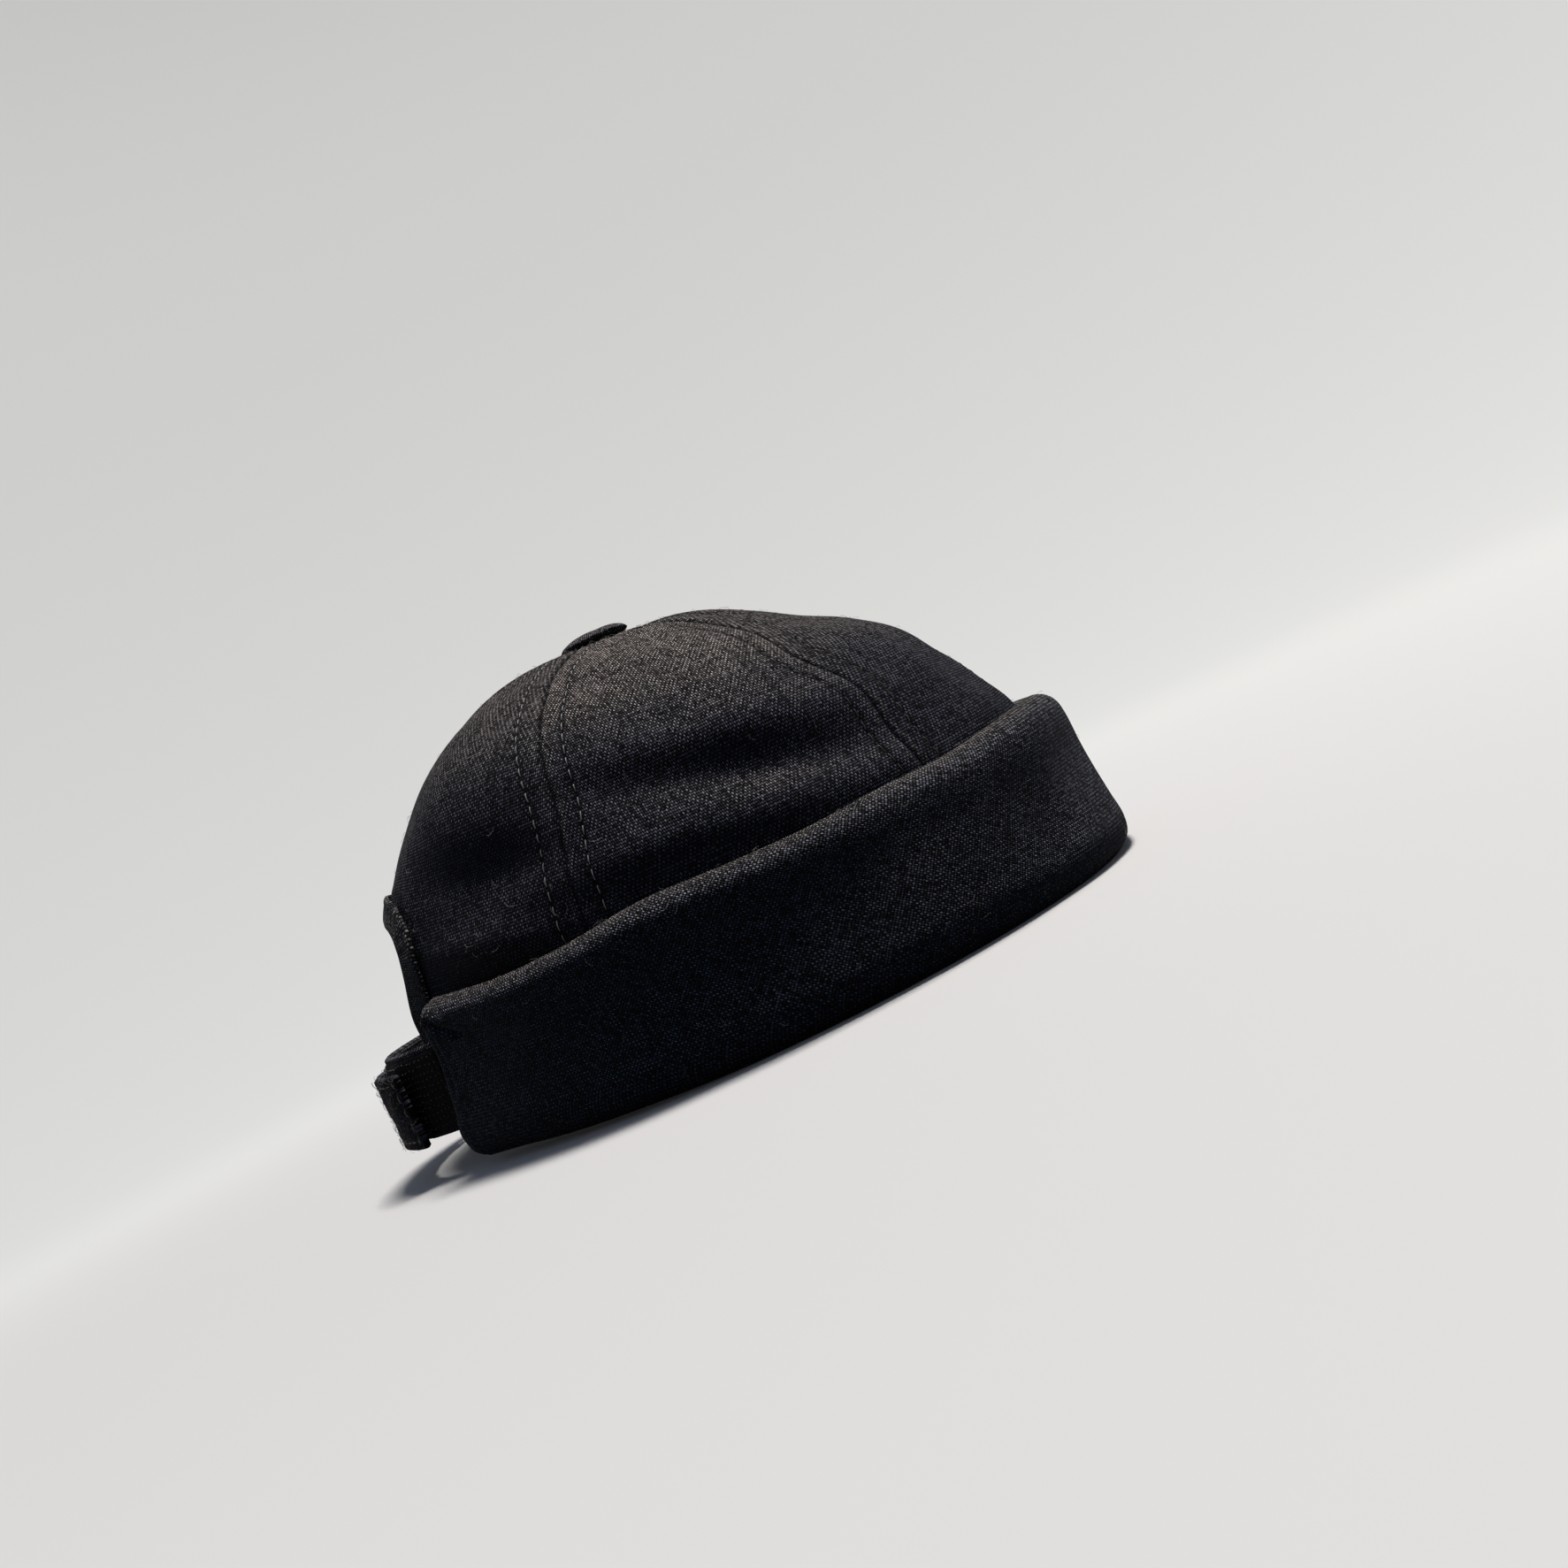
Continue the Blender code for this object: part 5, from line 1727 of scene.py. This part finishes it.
    def box_stitch(self, band: ClothSheet, lines: SewnLines) -> None:
        """Adds the stitching along a band's edges and the box at its free end."""
        rows, columns = band.points.shape[:2]
        out = band.normals()
        lifted = band.points + out * (band.cloth / 2 + self.stitch_lift)
        low, high, last = self.stitch_inset, rows - 1 - self.stitch_inset, columns - 1 - self.stitch_inset
        box = last - int(self.box_length / self.grid)
        first = int(self.stitch_start / self.grid)
        for row in (low, high):
            lines.add(lifted[row, first : last + 1], out[row, first : last + 1])
        for column in (box, last):
            lines.add(lifted[low : high + 1, column], out[low : high + 1, column])

    def hooks(self, tape: ClothSheet, outwards: float) -> None:
        """Grows the hooks on the tape's outer face."""
        rows, columns = tape.points.shape[:2]
        across = np.arange(1, columns - 1, self.hook_step)
        up = np.arange(1, rows - 1, self.hook_step)
        out = tape.normals()[np.ix_(up, across)].reshape(-1, 3) * outwards
        points = tape.points[np.ix_(up, across)].reshape(-1, 3) + out * tape.cloth / 2
        field_lines = SewnLines()
        field_lines.add(points, out)
        sizes = {"Height": self.hook_height, "Wire": self.hook_wire}
        Hooks().grow("hook_rows", field_lines, HOOK_NYLON, self.hook_seed, **sizes)

    def shed(self, band: ClothSheet, fibres: SewnLines, amount: Shed) -> None:
        """Adds random points of a band's outer face, away from its held end, for fibres to grow on."""
        chance = np.random.default_rng(amount.seed)
        rows, columns = band.points.shape[:2]
        row = chance.integers(0, rows, amount.count)
        column = chance.integers(columns // self.bare_part, columns, amount.count)
        out = band.normals()[row, column]
        fibres.add(band.points[row, column] + out * (band.cloth / 2 + self.fibre_lift), out)

    def build(self, dark: SewnLines, fibres: SewnLines) -> None:
        """Makes both straps with their tapes and adds their stitch lines and fibres."""
        hook_out = self.cloth / 2 + GAP
        loop_out = self.cloth / 2 + GAP + self.tape_cloth + GAP + self.tape_cloth / 2
        outer_out = loop_out + self.tape_cloth / 2 + GAP + self.cloth / 2
        inner_path = self.path(1.0, self.inner_crossing, 0.0)
        outer_path = self.path(1.0, self.outer_crossing, outer_out)
        hook_path = self.path(self.hook_start, self.inner_crossing - self.tape_shorter, hook_out)
        loop_path = self.path(self.loop_start, self.outer_crossing - self.tape_shorter, loop_out)
        inner = self.band("strap_right_linen", inner_path, self.inner, self.cloth)
        outer = self.band("strap_left_nap", outer_path, self.outer, self.cloth)
        inner.lay("strap_right", LINEN, Hold.STRETCHED, "cuff")
        outer.lay("strap_left", STRAP_FACE, Hold.STRETCHED, "cuff")
        self.shed(outer, fibres, STRAP_FIBRES)
        self.box_stitch(outer, dark)
        self.box_stitch(inner, dark)
        hook = self.band("hook_tape", hook_path, self.inner, self.hook_cloth, self.tape_margin)
        loop = self.band("loop_tape", loop_path, self.outer, self.tape_cloth, self.tape_margin)
        hook.lay("hook_patch", HOOK_GROUND, Hold.LAID, "strap_right")
        loop.lay("loop_patch", LOOP_NAP, Hold.LAID, "strap_left")
        self.hooks(hook, -1.0)


@dataclass
class CoveredButton:
    """The cloth-covered button in the middle of the crown, on a short shank."""

    crown: Crown
    radius: float = 10.8 * MM
    thickness: float = 3.6 * MM
    tilt: float = math.radians(5.0)
    lift: float = 1.1 * MM  # of its underside over the crown's top
    climb: float = 0.92  # at which the crown's slope under it is measured
    shank_radius: float = 1.7 * MM
    shank_length: float = 3.2 * MM
    rings: int = 34
    steps: int = 120
    shank_rings: int = 12
    gathers: int = 22
    gather_depth: float = 0.022  # as a share of the radius, at the edge underneath
    gather_start: float = 0.5  # the share of the radius at which they start, and over which they grow
    gather_rise: float = 0.4
    gather_shift: float = 0.5  # how far they stray round the button, in radians of their wave
    gather_bias: float = 0.6  # how far they pull the edge in on the whole, in depths of a gather
    gather_seed: int = 41
    seed: int = 43
    uneven: float = 0.10 * MM
    uneven_length: float = 6.0 * MM
    rubbed: Wear = Wear(0.0, 1.2 * MM, 0.5)
    rubbed_share: float = 0.95  # of the radius
    # The most painted top light that the button's upper part gets.
    painted_top_light: float = 0.7
    stretch: float = 0.35  # how much the cloth is stretched at the edge
    drop_share: float = 0.4  # how much of the height counts as length of the cloth
    profile: tuple[Pair, ...] = (
        Pair(0.0, 1.0),
        Pair(0.35, 0.97),
        Pair(0.65, 0.85),
        Pair(0.88, 0.62),
        Pair(0.99, 0.36),
        Pair(1.00, 0.20),
        Pair(0.93, 0.05),
        Pair(0.80, 0.0),
    )

    def build(self) -> None:
        """Makes the button."""
        shares = np.linspace(0, 1, self.rings)
        r, z = np.moveaxis(along(self.profile, shares), -1, 0)
        r, z = r * self.radius, z * self.thickness
        below = np.linspace(r[-1], self.shank_radius, self.shank_rings)[1:]
        r = np.concatenate([r[1:], below, [self.shank_radius]])
        z = np.concatenate([z[1:], np.zeros(len(below)), [-self.shank_length]])
        turn = np.linspace(0, 2 * math.pi, self.steps, endpoint=False)
        half = self.thickness / 2
        under = smooth((r / self.radius - self.gather_start) / self.gather_rise)
        under = under * smooth((half - z) / half)
        chance = np.random.default_rng(self.gather_seed)
        phase = chance.uniform(-self.gather_shift, self.gather_shift, self.gathers)
        shift = np.interp(turn, np.linspace(0, 2 * math.pi, self.gathers), phase)
        pleat = np.sin(turn * self.gathers + shift) + self.gather_bias
        wide = r[:, None] * (1 - self.gather_depth * under[:, None] * pleat[None, :])
        tall = z[:, None] * np.ones(turn.shape)
        points = np.stack([wide * np.cos(turn), wide * np.sin(turn), tall], -1)
        relief = self.uneven * ripples(points, self.uneven_length, self.seed)
        points[..., 2] += relief * smooth(z / self.thickness)[:, None]
        rings, steps = wide.shape
        ends = [[0.0, 0.0, self.thickness], [0.0, 0.0, -self.shank_length]]
        verts = np.vstack([points.reshape(-1, 3), ends])
        quads = turned_faces(rings, steps).tolist()
        pairs = [(k, (k + 1) % steps) for k in range(steps)]
        last = (rings - 1) * steps
        cap = [[rings * steps, a, b] for a, b in pairs]
        foot = [[rings * steps + 1, last + b, last + a] for a, b in pairs]
        front, back = self.crown.plain(0.0, self.climb), self.crown.plain(math.pi, self.climb)
        slope = float(np.arctan2(back[2] - front[2], back[1] - front[1]))
        middle = (self.crown.plain(0.0, 1.0) + self.crown.plain(math.pi, 1.0)) / 2
        place = Matrix.Translation(Vector((0.0, middle[1], middle[2] + self.lift)) + Vector(RIM_MIDDLE))
        turned = place @ Matrix.Rotation(slope - self.tilt, 4, "X")
        mesh = bpy.data.meshes.new("covered_button")
        mesh.from_pydata(verts, [], quads + cap + foot)
        reach = np.hypot(verts[:, 0], verts[:, 1])
        pull = 1 + self.stretch * np.clip(reach / self.radius, 0, 1) ** 4
        ClothSheet.map_weave(mesh, verts[:, :2] * pull[:, None] + verts[:, 2:] * self.drop_share)
        mark(mesh, WEAR_AND_SHADE, self.rubbed.on(reach - self.rubbed_share * self.radius))
        # Painted top light: the button is painted lighter towards its top, as if lit from above.
        mark(mesh, PAINTED_TOP_LIGHT, self.painted_top_light * smooth(verts[:, 2] / self.thickness))
        mesh.transform(turned)
        mesh.shade_smooth()
        mesh.materials.append(LINEN.material())
        declare(placed("covered_button", mesh), "top_button")


@dataclass
class Studio:
    """The pale ground, the soft lights and the camera."""

    camera_place: tuple[float, float, float] = (-475.0 * MM, -29.4 * MM, 58.4 * MM)
    roll: float = math.radians(25.6)
    lens: float = 36.1
    sensor: float = 36.0
    near: float = 10.0 * MM  # what is nearer to the camera doesn't show
    ground_flat: float = 0.75  # the radius at which the ground starts to curve up
    ground_curve: float = 0.8  # the radius of that curve
    ground_wall: float = 2.2  # the height at which the wall ends
    ground_middle: float = 0.02  # the radius of the face that closes the middle
    ground_rings: int = 12
    ground_bends: int = 20
    ground_steps: int = 96
    lamps: tuple[Lamp, ...] = (
        Lamp("high_light", (0.128, -0.32, 1.552), 0.45, 30.0, (1.0, 0.95, 0.91)),
        Lamp("side_light", (-1.1, -0.9, 0.9), 1.2, 0.36, (0.40, 0.55, 1.0)),
    )
    aim: tuple[float, float, float] = (0.0, 0.0, 0.06)  # what the lights look at
    air: Colour = (0.42, 0.58, 1.0, 1.0)
    air_strength: float = 0.14
    air_low: float = 0.1  # how far under the horizon the air still shines

    def ground(self) -> None:
        """A flat ground that curves up into a wall all round."""
        bend = np.linspace(0, math.pi / 2, self.ground_bends)
        flat = np.linspace(self.ground_middle, self.ground_flat, self.ground_rings, endpoint=False)
        r = np.concatenate([flat, self.ground_flat + self.ground_curve * np.sin(bend)])
        z = np.concatenate([np.zeros(len(flat)), self.ground_curve * (1 - np.cos(bend))])
        r, z = np.append(r, r[-1]), np.append(z, self.ground_wall)
        turn = np.linspace(0, 2 * math.pi, self.ground_steps, endpoint=False)
        wide, tall = r[:, None] * np.ones(turn.shape), z[:, None] * np.ones(turn.shape)
        points = np.stack([wide * np.cos(turn), wide * np.sin(turn), tall], -1)
        quads = turned_faces(*wide.shape)[:, ::-1].tolist()
        mesh = bpy.data.meshes.new("ground")
        mesh.from_pydata(points.reshape(-1, 3), [], quads + [list(range(self.ground_steps))])
        mesh.shade_smooth()
        mesh.materials.append(GROUND.material())
        ground = placed("ground", mesh)
        ground.visible_diffuse = False

    def light(self, lamp: Lamp) -> None:
        """Adds a light that looks at the cap."""
        data = bpy.data.lights.new(lamp.name, "AREA")
        data.shape = "SQUARE"
        data.size = lamp.size
        data.energy = lamp.power
        data.color = lamp.colour
        place = Vector(lamp.place)
        turned = (Vector(self.aim) - place).to_track_quat("-Z", "Y").to_matrix()
        placed(lamp.name, data).matrix_world = Matrix.Translation(place) @ turned.to_4x4()

    def build(self) -> None:
        """Makes the ground, the lights, the air and the camera."""
        self.ground()
        for lamp in self.lamps:
            self.light(lamp)
        world = bpy.data.worlds.new("air")
        world.use_nodes = True
        net = NodeNet(world.node_tree)
        _, _, up = net.parts(net.add("ShaderNodeTexCoord", {}, output="Generated"))
        high = net.shown(up + self.air_low)
        shine = {"Color": self.air, "Strength": high * self.air_strength}
        net.feed(world.node_tree.nodes["Background"], shine)
        bpy.context.scene.world = world
        data = bpy.data.cameras.new("camera")
        data.lens = self.lens
        data.sensor_width = self.sensor
        data.sensor_height = self.sensor
        data.sensor_fit = "HORIZONTAL"
        data.clip_start = self.near
        camera = placed("camera", data)
        c, s = math.cos(self.roll), math.sin(self.roll)
        right, up, back = Vector((0.0, -c, -s)), Vector((0.0, -s, c)), Vector((-1.0, 0.0, 0.0))
        turned = Matrix((right, up, back)).transposed().to_4x4()
        camera.matrix_world = Matrix.Translation(Vector(self.camera_place)) @ turned
        bpy.context.scene.camera = camera
        bpy.context.scene.view_settings.view_transform = "Standard"


DARK_SEED, PALE_SEED, LOOSE_SEED = 7, 9, 23  # of the stitches' sizes and the loose fibres'
GORE_FIBRES = Shed(130, 50)  # the seed of the first gore on each side, and the others' follow
CUFF_FIBRES = Shed(300, 60)
STRAP_FIBRES = Shed(420, 71)
STITCH_LINES = (
    StitchLine(Place.FRONT, False, False, 0.2, 0.93),
    StitchLine(Place.FRONT, True, False, 0.2, 0.93),
    StitchLine(Place.SIDE, False, False, 0.2, 0.93),
    StitchLine(Place.SIDE, True, True, 0.2, 0.93),
    StitchLine(Place.BACK, False, True, 0.15, 0.93),
    StitchLine(Place.BACK, True, False, 0.68, 0.93),
)


def main() -> None:
    """Builds the cap on its frame."""
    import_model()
    crown = Crown()
    cuff = Cuff(crown)
    dark, pale, fibres = SewnLines(), SewnLines(), SewnLines()
    for side in Side:
        gores = {place: Gore(crown, cuff, place, side) for place in Place}
        for number, gore in enumerate(gores.values()):
            gore.build()
            gore.shed(fibres, Shed(GORE_FIBRES.count, GORE_FIBRES.seed + number))
        for line in STITCH_LINES:
            gores[line.place].topstitch(pale if line.pale else dark, line)
    cuff.build()
    cuff.shed(fibres, CUFF_FIBRES)
    Binding(crown, cuff).build(dark)
    Straps(crown, cuff).build(dark, fibres)
    CoveredButton(crown).build()
    Stitching().grow("dark_topstitching", dark, DARK_THREAD, DARK_SEED, **STITCH)
    Stitching().grow("pale_topstitching", pale, PALE_THREAD, PALE_SEED, **STITCH)
    Fuzz().grow("loose_fibres", fibres, FIBRE, LOOSE_SEED, **LOOSE_FIBRE)
    Studio().build()


if __name__ == "__main__":
    logging.basicConfig(level=logging.INFO, format="%(name)s: %(message)s")
    main()
